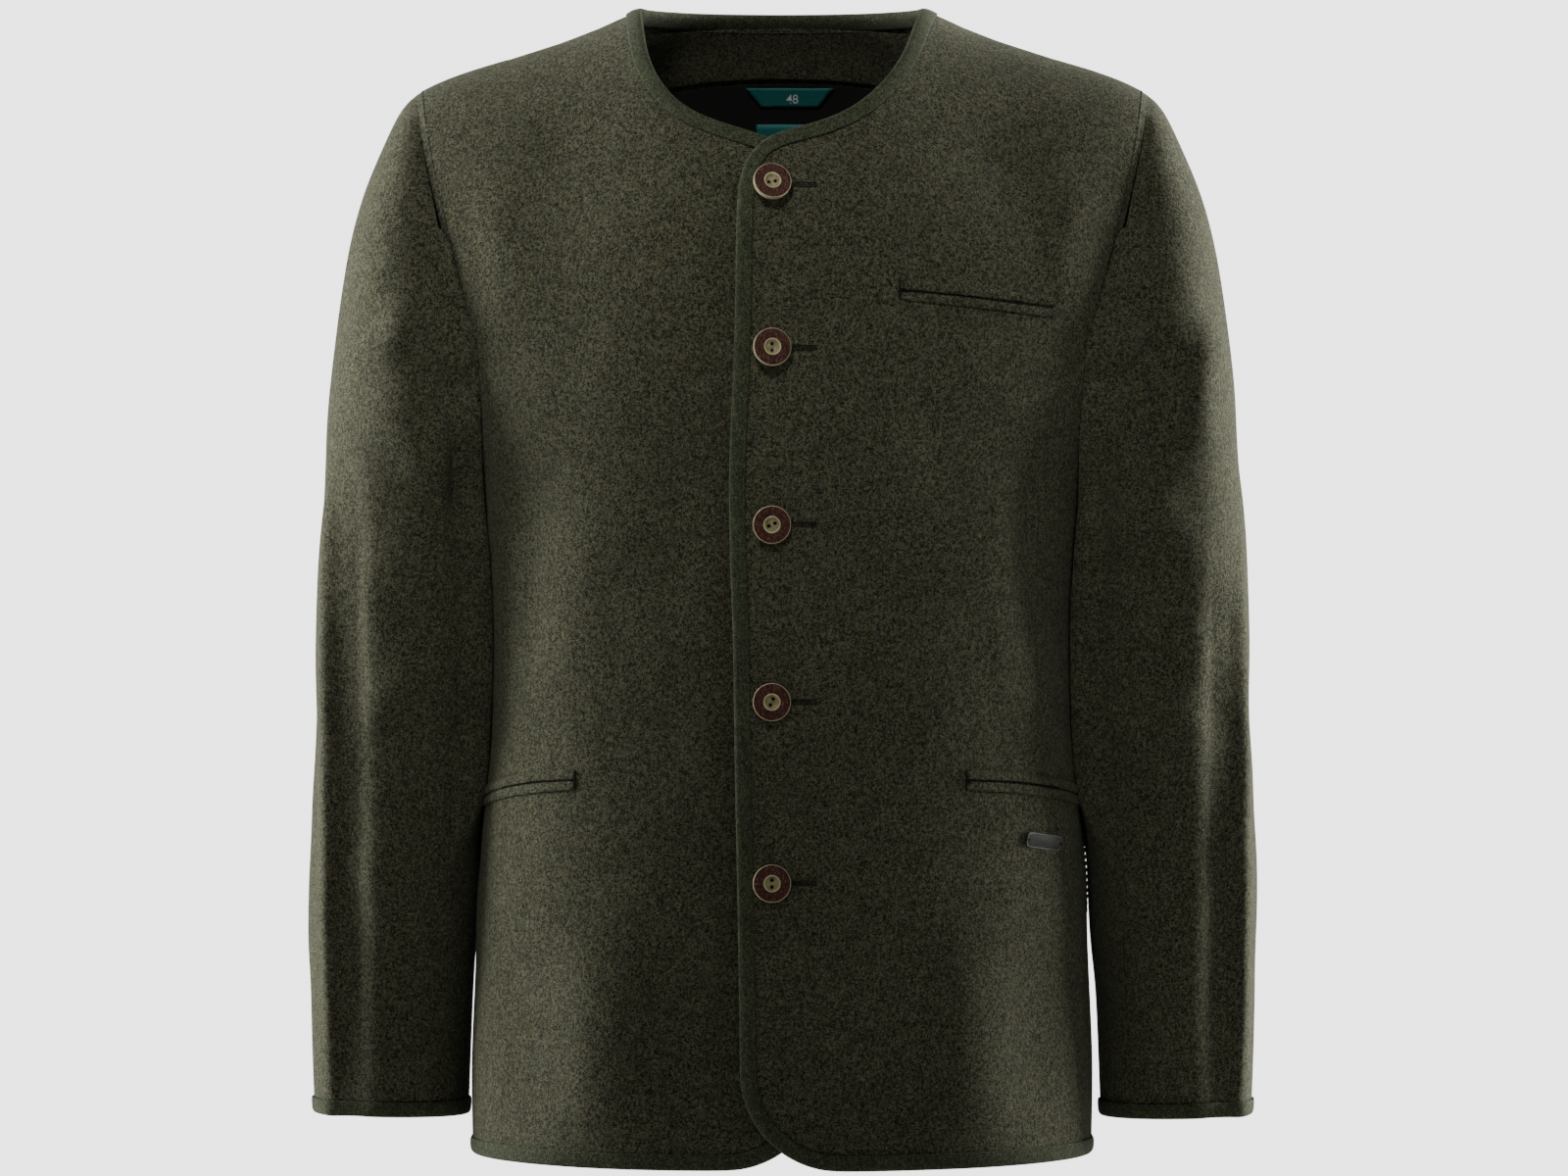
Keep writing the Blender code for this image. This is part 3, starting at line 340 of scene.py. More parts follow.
# creases of the worn cloth, by the side that they are seen from: the two ends (across, height),
# half width, depth (minus is pushed in) and how far the line bows, all in metres
creases = {
    "front": (
        # the sleeve at the viewer's left
        (-0.252, -0.186, -0.192, -0.236, 0.012, 0.005, 0.004),
        (-0.24, -0.204, -0.19, -0.262, 0.01, -0.006, 0.004),
        (-0.262, -0.236, -0.204, -0.318, 0.017, 0.0042, -0.006),
        (-0.196, -0.24, -0.197, -0.346, 0.008, -0.006, 0.002),
        (-0.272, -0.3, -0.216, -0.408, 0.02, -0.0036, 0.008),
        (-0.262, -0.42, -0.206, -0.47, 0.02, 0.0034, -0.004),
        (-0.214, -0.43, -0.262, -0.506, 0.02, -0.004, 0.006),
        (-0.27, -0.52, -0.222, -0.59, 0.022, 0.003, 0.004),
        (-0.222, -0.545, -0.25, -0.668, 0.018, -0.0034, -0.006),
        (-0.285, -0.78, -0.2885, -0.215, 0.0042, 0.0052, 0.002),
        (-0.27, -0.78, -0.2725, -0.225, 0.0085, -0.0046, 0.002),
        # the sleeve at the viewer's right
        (0.273, -0.188, 0.256, -0.292, 0.01, 0.0052, 0.004),
        (0.25, -0.192, 0.242, -0.3, 0.014, -0.004, 0.006),
        (0.24, -0.2, 0.198, -0.252, 0.007, -0.0058, -0.003),
        (0.226, -0.196, 0.194, -0.232, 0.008, 0.0034, 0.002),
        (0.238, -0.322, 0.196, -0.37, 0.008, -0.0054, -0.004),
        (0.246, -0.3, 0.198, -0.346, 0.012, 0.004, -0.004),
        (0.272, -0.352, 0.216, -0.43, 0.02, -0.0034, 0.006),
        (0.262, -0.43, 0.21, -0.492, 0.02, 0.0034, 0.004),
        (0.214, -0.498, 0.264, -0.566, 0.018, -0.0036, -0.005),
        (0.232, -0.56, 0.244, -0.676, 0.02, 0.003, 0.006),
        (0.2905, -0.3, 0.288, -0.78, 0.0042, 0.005, 0.001),
        (0.275, -0.29, 0.2725, -0.78, 0.0085, -0.0044, 0.001),
        # the fronts: soft drags from the buttons, over the chest and down to the hem
        (0.006, -0.332, 0.112, -0.372, 0.02, -0.002, 0.006),
        (0.008, -0.302, 0.096, -0.276, 0.022, 0.0018, 0.004),
        (0.01, -0.44, 0.09, -0.47, 0.02, -0.0016, 0.004),
        (-0.034, -0.334, -0.146, -0.386, 0.022, -0.0022, -0.006),
        (-0.036, -0.23, -0.13, -0.212, 0.026, 0.0016, 0.004),
        (-0.036, -0.44, -0.13, -0.468, 0.022, -0.0018, -0.004),
        (0.16, -0.262, 0.166, -0.44, 0.017, -0.0036, 0.006),
        (0.138, -0.28, 0.146, -0.46, 0.018, 0.0022, 0.004),
        (-0.16, -0.262, -0.164, -0.44, 0.017, -0.0038, -0.006),
        (-0.136, -0.28, -0.142, -0.466, 0.018, 0.0022, -0.004),
        (0.072, -0.556, 0.058, -0.735, 0.026, -0.003, 0.006),
        (0.112, -0.57, 0.118, -0.735, 0.024, 0.003, 0.005),
        (0.156, -0.56, 0.164, -0.73, 0.02, -0.0026, 0.003),
        (-0.07, -0.556, -0.06, -0.735, 0.026, -0.003, -0.006),
        (-0.118, -0.56, -0.122, -0.735, 0.024, 0.0032, -0.004),
        (-0.16, -0.55, -0.166, -0.73, 0.02, -0.0028, 0.003),
        (0.118, -0.062, 0.172, -0.16, 0.024, -0.0026, 0.006),
        (0.186, -0.1, 0.176, -0.22, 0.014, 0.0022, 0.004),
        (-0.12, -0.062, -0.176, -0.168, 0.024, -0.0026, -0.006),
        (-0.184, -0.11, -0.172, -0.23, 0.014, 0.0022, -0.004),
    ),
    "back": (
        # the back: hollow spine, drags from the shoulder blades to the waist, and the skirt
        (0.0, -0.3, 0.006, -0.54, 0.03, -0.0036, 0.003),
        (0.146, -0.19, 0.086, -0.34, 0.024, -0.0034, 0.01),
        (-0.14, -0.205, -0.092, -0.362, 0.026, -0.0034, -0.01),
        (0.176, -0.33, 0.06, -0.404, 0.018, -0.0036, 0.008),
        (-0.178, -0.345, -0.056, -0.424, 0.019, -0.0038, -0.008),
        (0.17, -0.3, 0.08, -0.366, 0.018, 0.0024, 0.006),
        (-0.172, -0.31, -0.074, -0.38, 0.018, 0.0026, -0.006),
        (0.15, -0.43, 0.04, -0.462, 0.02, -0.0022, -0.005),
        (0.096, -0.54, 0.104, -0.735, 0.026, 0.0036, 0.004),
        (-0.088, -0.55, -0.102, -0.735, 0.026, 0.0034, -0.005),
        (0.04, -0.56, 0.03, -0.735, 0.024, -0.0028, 0.004),
        (-0.036, -0.575, -0.046, -0.735, 0.024, -0.0024, 0.004),
        (0.252, -0.21, 0.206, -0.3, 0.013, -0.0052, 0.004),
        (0.268, -0.28, 0.204, -0.372, 0.017, 0.004, -0.005),
        (0.26, -0.37, 0.206, -0.446, 0.018, -0.0044, 0.006),
        (0.266, -0.47, 0.212, -0.56, 0.021, 0.0034, 0.004),
        (0.22, -0.56, 0.262, -0.664, 0.02, -0.003, -0.005),
        (-0.25, -0.2, -0.208, -0.31, 0.013, -0.005, -0.004),
        (-0.266, -0.3, -0.206, -0.384, 0.017, 0.0042, 0.005),
        (-0.262, -0.384, -0.208, -0.47, 0.018, -0.0044, -0.006),
        (-0.264, -0.49, -0.214, -0.57, 0.021, 0.0034, -0.004),
        (-0.222, -0.58, -0.258, -0.676, 0.02, -0.003, 0.005),
    ),
    "left": (
        # the outer sides of the sleeves
        (-0.04, -0.25, 0.05, -0.33, 0.02, -0.0034, 0.006),
        (0.056, -0.4, -0.03, -0.47, 0.022, -0.003, 0.004),
        (-0.02, -0.52, 0.05, -0.59, 0.024, 0.0026, 0.004),
    ),
    "right": (
        (-0.036, -0.27, 0.056, -0.35, 0.02, -0.0034, 0.006),
        (0.06, -0.41, -0.024, -0.49, 0.022, -0.0032, 0.004),
        (-0.016, -0.54, 0.056, -0.61, 0.024, 0.0026, 0.004),
    ),
}
facing = {"front": (0, -1, 0), "back": (0, 1, 0), "left": (1, 0, 0), "right": (-1, 0, 0)}
creaseStrength = {"front": 1.45, "back": 2.0, "left": 0.6, "right": 0.6, "sleeve": 1.15}
sleeveFrom = 0.187


def smoothStep(low, high, values):
    t = np.clip((values - low) / (high - low), 0, 1)
    return t * t * (3 - 2 * t)


def creaseMove(points, normals):
    moves = np.zeros(len(points))
    for side, rows in creases.items():
        across = points[:, 0] if side in ("front", "back") else points[:, 1]
        seen = smoothStep(0.05, 0.55, normals @ np.array(facing[side], dtype=float))
        for x1, z1, x2, z2, width, depth, bow in rows:
            length = math.hypot(x2 - x1, z2 - z1)
            along = ((across - x1) * (x2 - x1) + (points[:, 2] - z1) * (z2 - z1)) / length**2
            apart = ((across - x1) * (z2 - z1) - (points[:, 2] - z1) * (x2 - x1)) / length
            t = np.clip(along, 0, 1)
            apart = apart - bow * 4 * t * (1 - t)
            wide = np.where(apart > 0, width, width * 1.6)
            ends = smoothStep(0, 0.35, t) * smoothStep(0, 0.35, 1 - t)
            onSleeve = side == "front" and abs(x1) > sleeveFrom
            strength = creaseStrength["sleeve" if onSleeve else side]
            moves += strength * depth * np.exp(-((apart / wide) ** 2)) * ends * seen
    return moves


def activate(piece):
    bpy.ops.object.select_all(action="DESELECT")
    piece.select_set(True)
    bpy.context.view_layer.objects.active = piece


def editAll(piece):
    activate(piece)
    bpy.ops.object.mode_set(mode="EDIT")
    bpy.ops.mesh.select_all(action="SELECT")


def applyAll(piece):
    activate(piece)
    for modifier in list(piece.modifiers):
        bpy.ops.object.modifier_apply(modifier=modifier.name)


def pointsOf(mesh, kind="co"):
    points = np.empty(len(mesh.vertices) * 3)
    mesh.vertices.foreach_get(kind, points)
    return points.reshape(-1, 3)


def normalsOf(mesh):
    return pointsOf(mesh, "normal")


def setPoints(mesh, points):
    mesh.vertices.foreach_set("co", points.ravel())
    mesh.update()


def finishPiece(piece, material, replaced=()):
    piece.data.materials.clear()
    piece.data.materials.append(material)
    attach(piece, "root")
    if replaced:
        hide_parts(*replaced)


# a copy of a CAD node with its loose triangles merged back into quads
def copyNode(name, pieceName):
    piece = newObject(pieceName, nodes[name].data.copy())
    editAll(piece)
    bpy.ops.mesh.remove_doubles(threshold=0.00002)
    bpy.ops.mesh.tris_convert_to_quads(face_threshold=math.radians(60), shape_threshold=math.radians(120))
    bpy.ops.object.mode_set(mode="OBJECT")
    return piece


# keeps only the outer skin of a wall: the largest patch that no sharp edge crosses
def keepOuterSkin(piece, sharp=45):
    work = bmesh.new()
    work.from_mesh(piece.data)
    work.faces.ensure_lookup_table()
    seen = set()
    best = []
    bestArea = 0
    for face in work.faces:
        if face.index in seen:
            continue
        patch = [face]
        seen.add(face.index)
        for item in patch:
            for edge in item.edges:
                if len(edge.link_faces) != 2 or edge.calc_face_angle(3) > math.radians(sharp):
                    continue
                for other in edge.link_faces:
                    if other.index not in seen:
                        seen.add(other.index)
                        patch.append(other)
        area = sum(f.calc_area() for f in patch)
        if area > bestArea:
            best = patch
            bestArea = area
    keep = set(best)
    bmesh.ops.delete(work, geom=[f for f in work.faces if f not in keep], context="FACES")
    work.to_mesh(piece.data)
    work.free()
    return bestArea


def subdivide(piece, levels, keepEdge=False, kind="CATMULL_CLARK"):
    if keepEdge:
        editAll(piece)
        bpy.ops.mesh.region_to_loop()
        bpy.ops.transform.edge_crease(value=1)
        bpy.ops.object.mode_set(mode="OBJECT")
    smooth = piece.modifiers.new("smooth", "SUBSURF")
    smooth.subdivision_type = kind
    smooth.levels = levels
    smooth.render_levels = levels
    applyAll(piece)


def facesOf(pieces):
    faces = []
    offset = 0
    for piece in pieces:
        faces += [tuple(v + offset for v in face.vertices) for face in piece.data.polygons]
        offset += len(piece.data.vertices)
    return faces


def treeOf(*pieces):
    points = [tuple(p) for piece in pieces for p in pointsOf(piece.data)]
    return BVHTree.FromPolygons(points, facesOf(pieces))


# the cloth panels: outer skin of each wall, made fine, creased and then given its thickness
cloth = {"thickness": 0.0020, "levels": 3, "seamWidth": 0.0040, "seamDepth": 0.0009}
# flat width and length of each cut and the area of its outline, in metres
cuts = {
    "front_left": (0.285, 0.735, 0.190),
    "front_right": (0.285, 0.735, 0.185),
    "back": (0.560, 0.745, 0.356),
    "top_sleeve_left": (0.235, 0.655, 0.135),
    "top_sleeve_right": (0.235, 0.655, 0.136),
    "under_sleeve_left": (0.125, 0.580, 0.0645),
    "under_sleeve_right": (0.125, 0.580, 0.0650),
    "edge_binding_left": (0.0196, 1.185, None),
    "edge_binding_right": (0.0196, 1.185, None),
    "hem_binding_back": (0.0196, 0.571, None),
    "neck_binding_back": (0.0220, 0.245, None),
    "cuff_binding_left": (0.0196, 0.330, None),
    "cuff_binding_right": (0.0196, 0.330, None),
    "back_facing": (0.235, 0.036, 0.0073),
    "back_lining": (0.290, 0.130, 0.0324),
    "size_tab": (0.058, 0.012, 0.00062),
    "bare_label": (0.044, 0.030, None),
}
sewnOn = {node: [] for node in cuts}
sheets = {}
panelNames = {
    "front_left": "leftFront",
    "front_right": "rightFront",
    "back": "backPanel",
    "top_sleeve_left": "leftTopSleeve",
    "top_sleeve_right": "rightTopSleeve",
    "under_sleeve_left": "leftUnderSleeve",
    "under_sleeve_right": "rightUnderSleeve",
}
panels = {}
for node, pieceName in panelNames.items():
    piece = copyNode(node, pieceName)
    area = keepOuterSkin(piece)
    subdivide(piece, cloth["levels"], True)
    panels[node] = piece
    print(pieceName, "skin", len(piece.data.polygons), "faces", round(area, 4), "m2")

# one tree of all the skins before they are creased, for what lies on them
restNormals = np.vstack([normalsOf(piece.data) for piece in panels.values()])
restFaces = facesOf(panels.values())
restTree = treeOf(*panels.values())


# what is sewn on moves with the cloth under it
def followCloth(piece, rigid=False):
    points = pointsOf(piece.data)
    places = np.empty_like(points)
    normals = np.empty_like(points)
    for k, point in enumerate(points if not rigid else [points.mean(axis=0)]):
        place, normal, index, apart = restTree.find_nearest(Vector(point))
        corners = restFaces[index]
        places[k] = place
        soft = restNormals[list(corners)].mean(axis=0)
        normals[k] = soft / np.linalg.norm(soft)
    if rigid:
        places[:] = places[0]
        normals[:] = normals[0]
    setPoints(piece.data, points + normals * creaseMove(places, normals)[:, None])


bodyNodes = ("front_left", "front_right", "back")
bodyTrees = [treeOf(panels[node]) for node in bodyNodes]

# the sleeves lie against the body below the armpit
contact = {
    "reach": 0.024,
    "full": 0.014,
    "left": 0.0002,
    "top": -0.165,
    "bottom": -0.490,
    "fade": 0.060,
    "fadeTop": 0.070,
}


def restOnBody(piece):
    points = pointsOf(piece.data)
    moved = points.copy()
    for k, (x, y, z) in enumerate(points):
        if z > contact["top"] + contact["fadeTop"] or z < contact["bottom"] - contact["fade"]:
            continue
        direction = Vector((-math.copysign(1, x), 0, 0))
        apart = 1.0
        for tree in bodyTrees:
            hit = tree.ray_cast(Vector((x, y, z)), direction, contact["reach"])
            if hit[0] is not None:
                apart = min(apart, hit[3])
        if apart > contact["reach"]:
            continue
        share = smoothStep(-contact["reach"], -contact["full"], -apart)
        share *= smoothStep(contact["top"] + contact["fadeTop"], contact["top"], z)
        share *= smoothStep(contact["bottom"] - contact["fade"], contact["bottom"], z)
        moved[k, 0] += direction.x * (apart - contact["left"]) * share
    setPoints(piece.data, moved)


def edgePoints(mesh):
    use = {}
    for face in mesh.polygons:
        for key in face.edge_keys:
            use[key] = use.get(key, 0) + 1
    return sorted({v for key, count in use.items() if count == 1 for v in key})


def pointTree(points):
    tree = KDTree(len(points))
    for k, point in enumerate(points):
        tree.insert(Vector(point), k)
    tree.balance()
    return tree


# the armhole is where the edges of the body and of a sleeve lie side by side
armhole = {"near": 0.0045, "fade": 0.016, "close": 0.85, "blend": 0.012}
edges = {node: pointsOf(piece.data)[edgePoints(piece.data)] for node, piece in panels.items()}
bodyEdge = np.vstack([edges[n] for n in edges if "sleeve" not in n])
sleeveEdge = np.vstack([edges[n] for n in edges if "sleeve" in n])
bodyEdgeTree = pointTree(bodyEdge)
armholePairs = [(p, *bodyEdgeTree.find(Vector(p))[::2]) for p in sleeveEdge]
armholePairs = [(p, np.array(q)) for p, q, gap in armholePairs if gap < armhole["near"]]
armholeTree = pointTree([p for p, q in armholePairs])
print("armhole points", len(armholePairs))


def fromArmhole(points):
    return np.array([armholeTree.find(Vector(p))[2] for p in points])


# the under front dips beside the edge that laps over it
underLap = {"x": -0.027, "width": 0.0125, "depth": 0.0042, "top": -0.105, "bottom": -0.715, "fade": 0.03}


def dipUnderLap(points, normals):
    dip = underLap["depth"] * np.exp(-(((points[:, 0] - underLap["x"]) / underLap["width"]) ** 2))
    dip *= smoothStep(underLap["top"], underLap["top"] - underLap["fade"], points[:, 2])
    dip *= smoothStep(underLap["bottom"], underLap["bottom"] + underLap["fade"], points[:, 2])
    return points - normals * dip[:, None]


skins = {}
trees = {}
for node, piece in panels.items():
    mesh = piece.data
    if node == "front_right":
        setPoints(mesh, dipUnderLap(pointsOf(mesh), normalsOf(mesh)))
    points = pointsOf(mesh)
    apart = fromArmhole(points)
    moves = creaseMove(points, normalsOf(mesh)) * smoothStep(0.001, armhole["fade"], apart)
    setPoints(mesh, points + normalsOf(mesh) * moves[:, None])
    if "sleeve" in node:
        points = pointsOf(mesh)
        for k in np.nonzero(apart < armhole["blend"])[0]:
            sleevePoint, bodyPoint = armholePairs[armholeTree.find(Vector(points[k]))[1]]
            share = armhole["close"] * (1 - smoothStep(0, armhole["blend"], apart[k]))
            points[k] += (bodyPoint - sleevePoint) * share
        setPoints(mesh, points)
        restOnBody(piece)
    skins[node] = (pointsOf(mesh).copy(), normalsOf(mesh).copy())
    trees[node] = treeOf(piece)


# the open edge of a skin as rings of vertex numbers, each with the way in to the cloth
def edgeRings(mesh):
    work = bmesh.new()
    work.from_mesh(mesh)
    work.verts.ensure_lookup_table()
    border = {}
    inward = {}
    for edge in work.edges:
        if len(edge.link_faces) == 1:
            a, b = (v.index for v in edge.verts)
            border.setdefault(a, []).append(b)
            border.setdefault(b, []).append(a)
            into = edge.link_faces[0].calc_center_median() - (edge.verts[0].co + edge.verts[1].co) / 2
            for v in (a, b):
                inward[v] = inward.get(v, Vector()) + into.normalized()
    rings = []
    used = set()
    for first in border:
        if first in used:
            continue
        ring = [first]
        used.add(first)
        while True:
            following = [v for v in border[ring[-1]] if v not in used]
            if not following:
                break
            ring.append(following[0])
            used.add(following[0])
        rings.append(ring)
    work.free()
    return rings, inward


rings = {node: edgeRings(piece.data) for node, piece in panels.items()}


# seams sink a little between the panels
def sinkSeams(piece, node):
    points, normals = skins[node]
    border = pointTree([points[v] for ring in rings[node][0] for v in ring])
    apart = np.array([border.find(Vector(p))[2] for p in points])
    sink = cloth["seamDepth"] * np.exp(-((apart / cloth["seamWidth"]) ** 2))
    setPoints(piece.data, points - normals * sink[:, None])
    return border


borders = {}
for node, piece in panels.items():
    borders[node] = sinkSeams(piece, node)
    thick = piece.modifiers.new("thick", "SOLIDIFY")
    thick.thickness = cloth["thickness"]
    thick.offset = -1
    applyAll(piece)
    activate(piece)
    bpy.ops.object.shade_smooth_by_angle(angle=math.radians(50))
    finishPiece(piece, loden, (node,))
    sheets[node] = (piece, "hung", ())
print("cloth panels made")


def softNode(node, pieceName, material, kind="CATMULL_CLARK"):
    piece = copyNode(node, pieceName)
    subdivide(piece, 2, kind=kind)
    followCloth(piece)
    activate(piece)
    bpy.ops.object.shade_smooth()
    finishPiece(piece, material, (node,))
    return piece


# felt bindings round the edges
bindingNames = {
    "edge_binding_left": "leftEdgeBinding",
    "edge_binding_right": "rightEdgeBinding",
    "hem_binding_back": "backHemBinding",
    "neck_binding_back": "backNeckBinding",
    "cuff_binding_left": "leftCuffBinding",
    "cuff_binding_right": "rightCuffBinding",
}
bindings = {node: softNode(node, name, felt) for node, name in bindingNames.items()}
for node, piece in bindings.items():
    sheets[node] = (piece, "folded", ())
bindingTree = treeOf(*bindings.values())
print("bindings made")


# one stitch as a small flattened grain, stamped along a row
def stitchGrain(length, width, height):
    bpy.ops.mesh.primitive_uv_sphere_add(segments=6, ring_count=4, radius=0.5)
    grain = bpy.context.active_object
    bpy.ops.object.mode_set(mode="EDIT")
    bpy.ops.transform.rotate(value=math.radians(90), orient_axis="Y", center_override=(0, 0, 0))
    bpy.ops.object.mode_set(mode="OBJECT")
    shape = pointsOf(grain.data) * np.array((length, width, height))
    faces = [tuple(f.vertices) for f in grain.data.polygons]
    bpy.data.objects.remove(grain)
    return shape, faces


# a shape's points taken from its own axes to the given ones
def onAxes(shape, place, along, side, up):
    return place + shape[:, :1] * along + shape[:, 1:2] * side + shape[:, 2:] * up


def stampRow(name, grain, places, material):
    shape, faces = grain
    points = []
    allFaces = []
    for place, along, out in places:
        side = np.cross(out, along)
        side /= np.linalg.norm(side)
        up = np.cross(along, side)
        offset = len(points) * len(shape)
        points.append(onAxes(shape, place, along, side, up))
        allFaces += [tuple(v + offset for v in face) for face in faces]
    mesh = bpy.data.meshes.new(name)
    mesh.from_pydata([tuple(p) for p in np.vstack(points)], [], allFaces)
    mesh.update()
    piece = newObject(name, mesh)
    activate(piece)
    bpy.ops.object.shade_smooth()
    finishPiece(piece, material)
    return piece


# evenly spaced places on a line, and the way that the line runs at each
def resample(line, pitch):
    line = np.array(line)
    steps = np.linalg.norm(np.diff(line, axis=0), axis=1)
    run = np.concatenate([[0], np.cumsum(steps)])
    where = (np.arange(int(run[-1] / pitch)) + 0.5) * pitch

    def at(distances):
        return np.stack([np.interp(distances, run, line[:, k]) for k in range(3)], axis=1)

    along = at(np.minimum(where + pitch / 2, run[-1])) - at(where - pitch / 2)
    return at(where), along / np.linalg.norm(along, axis=1)[:, None]


# rows of stitches beside the bound edges and beside the armholes
stitch = {
    "length": 0.0032,
    "gap": 0.0010,
    "width": 0.00080,
    "height": 0.00060,
    "offBinding": 0.0010,
    "offSeam": 0.0050,
    "nearBinding": 0.0016,
    "nearSleeve": 0.0022,
}
stitchPitch = stitch["length"] + stitch["gap"]
sleeveTrees = [trees[n] for n in trees if "sleeve" in n]


def lineBeside(node, wanted, distance):
    points, normals = skins[node]
    lines = []
    for ring in rings[node][0]:
        current = []
        for v in ring + ring[:1]:
            place = Vector(points[v])
            into = rings[node][1][v]
            into = into - into.dot(Vector(normals[v])) * Vector(normals[v])
            spot = place + into.normalized() * distance
            spot, normal, index, gap = trees[node].find_nearest(spot)
            clear = borders[node].find(spot)[2] > distance * 0.9
            if wanted(place) and clear:
                current.append(tuple(spot))
            elif current:
                lines.append(current)
                current = []
        if current:
            lines.append(current)
    return [line for line in lines if len(line) > 4]


def rowOf(name, node, lines, grain, raised, pitch):
    places = []
    for line in lines:
        spots, along = resample(line, pitch)
        for spot, direction in zip(spots, along):
            place, normal, index, gap = trees[node].find_nearest(Vector(spot))
            out = np.array(normal)
            places.append((np.array(place) + out * raised, direction, out))
    if places:
        sewnOn[node].append(stampRow(name, grain, places, thread))


grain = stitchGrain(stitch["length"], stitch["width"], stitch["height"])


def isBound(place):
    return bindingTree.find_nearest(place)[3] < stitch["nearBinding"]


def isArmhole(place):
    return min(tree.find_nearest(place)[3] for tree in sleeveTrees) < stitch["nearSleeve"]


# how far in the stitches run, in tenths of a millimetre: just clear of the binding
def clearOfBinding(node):
    for tenth in range(60, 125, 5):
        distance = tenth / 10000
        lines = lineBeside(node, isBound, distance)
        if not lines:
            continue
        gaps = [bindingTree.find_nearest(Vector(p))[3] for line in lines for p in line[::6]]
        if np.median(gaps) > stitch["offBinding"]:
            return lines
    return []


for node, pieceName in panelNames.items():
    rowOf(pieceName + "EdgeStitches", node, clearOfBinding(node), grain, 0.0001, stitchPitch)
for node in bodyNodes:
    lines = lineBeside(node, isArmhole, stitch["offSeam"])
    rowOf(panelNames[node] + "ArmholeStitches", node, lines, grain, 0.0, stitchPitch)
print("edge stitches made")

# the hind seams of the sleeves show as a thin line from the armpit to the cuff
seam = {"length": 0.004, "width": 0.0006, "height": 0.0005, "pitch": 0.0026, "in": 0.0002, "top": -0.205}
seamGrain = stitchGrain(seam["length"], seam["width"], seam["height"])


def isHindSeam(place):
    return place.z < seam["top"] and place.y > 0 and not isBound(place)


for side in ("left", "right"):
    node = "under_sleeve_" + side
    lines = lineBeside(node, isHindSeam, seam["in"])
    rowOf(side + "SleeveSeams", node, lines, seamGrain, 0.0, seam["pitch"])

# pocket welts, each pair with a bar of thread at its ends
for place in ("upper", "lower"):
    welt = softNode("breast_pocket_welt_" + place, place + "BreastWelt", loden)
    sewnOn["front_left"].append(welt)
    for side in ("left", "right"):
        name = "pocket_welt_" + place + "_" + side
        welt = softNode(name, side + place.capitalize() + "Welt", loden)
        sewnOn["front_" + side].append(welt)


def clothAt(x, z):
    best = None
    for node in bodyNodes:
        hit = trees[node].ray_cast(Vector((x, -0.3, z)), Vector((0, 1, 0)))
        if hit[0] is not None and (best is None or hit[0].y < best[0].y):
            best = hit
    return np.array(best[0]), np.array(best[1])


bar = {"pitch": 0.0008, "length": 0.0019, "width": 0.0007, "height": 0.0007, "raised": 0.0007}
barGrain = stitchGrain(bar["length"], bar["width"], bar["height"])
# each bar's place across, its top and its bottom
weltBars = (
    (0.0722, -0.1780, -0.1906),
    (0.1665, -0.1874, -0.2000),
    (0.1135, -0.4790, -0.4925),
    (-0.1275, -0.4790, -0.4925),
)
barPlaces = []
for x, top, bottom in weltBars:
    for k in range(int((top - bottom) / bar["pitch"])):
        place, out = clothAt(x, top - (k + 0.5) * bar["pitch"])
        barPlaces.append((place + out * bar["raised"], np.array((1.0, 0.0, 0.08)), out))
stampRow("pocketBars", barGrain, barPlaces, thread)

# the mouth of each pocket: a row of near-black grains between its welts, painted shadow for the slit
mouth = {"pitch": 0.0016, "length": 0.0052, "width": 0.0012, "height": 0.0006, "raised": 0.0008}
mouths = (
    ((0.0732, -0.1846), (0.1655, -0.1938)),
    ((0.1140, -0.4857), (0.1300, -0.4860), (0.1447, -0.4868), (0.1593, -0.4891), (0.1720, -0.4915)),
    ((-0.1285, -0.4857), (-0.1510, -0.4866), (-0.1634, -0.4890), (-0.1742, -0.4914)),
)
mouthGrain = stitchGrain(mouth["length"], mouth["width"], mouth["height"])
mouthPlaces = []
for line in mouths:
    for at, run in zip(*resample([(x, 0.0, z) for x, z in line], mouth["pitch"])):
        place, out = clothAt(at[0], at[2])
        mouthPlaces.append((place + out * mouth["raised"], run, out))
stampRow("pocketMouthShadow", mouthGrain, mouthPlaces, paintedRecessShade)
print("pockets made")

# horn buttons: turned profile (radius, height), two holes, ring of horn, pale middle with its dish
# painted a darker ivory as shade, and rim
button = {
    "profile": (
        (0.0, 0.0010), (0.0026, 0.0010), (0.0036, 0.0014), (0.0043, 0.0025), (0.0047, 0.0033),
        (0.0050, 0.0035), (0.0053, 0.0034), (0.0056, 0.0031), (0.0080, 0.0033), (0.0106, 0.0032),
        (0.0112, 0.0031), (0.0116, 0.0028), (0.0117, 0.0022), (0.0117, 0.0002), (0.0112, -0.0004),
        (0.0, -0.0004),
    ),
    "steps": 64,
    "middle": 0.0053,
    "paintedDishShade": 0.0041,
    "rim": 0.01135,
    "hole": 0.00115,
    "apart": 0.0041,
    "turns": (15, 90, 25, 65, 90),
    "tips": (0.28, 0.23, 0.06, 0.03, 0.06),
    "sunk": 0.0012,
    "tipRaises": 0.009,
}


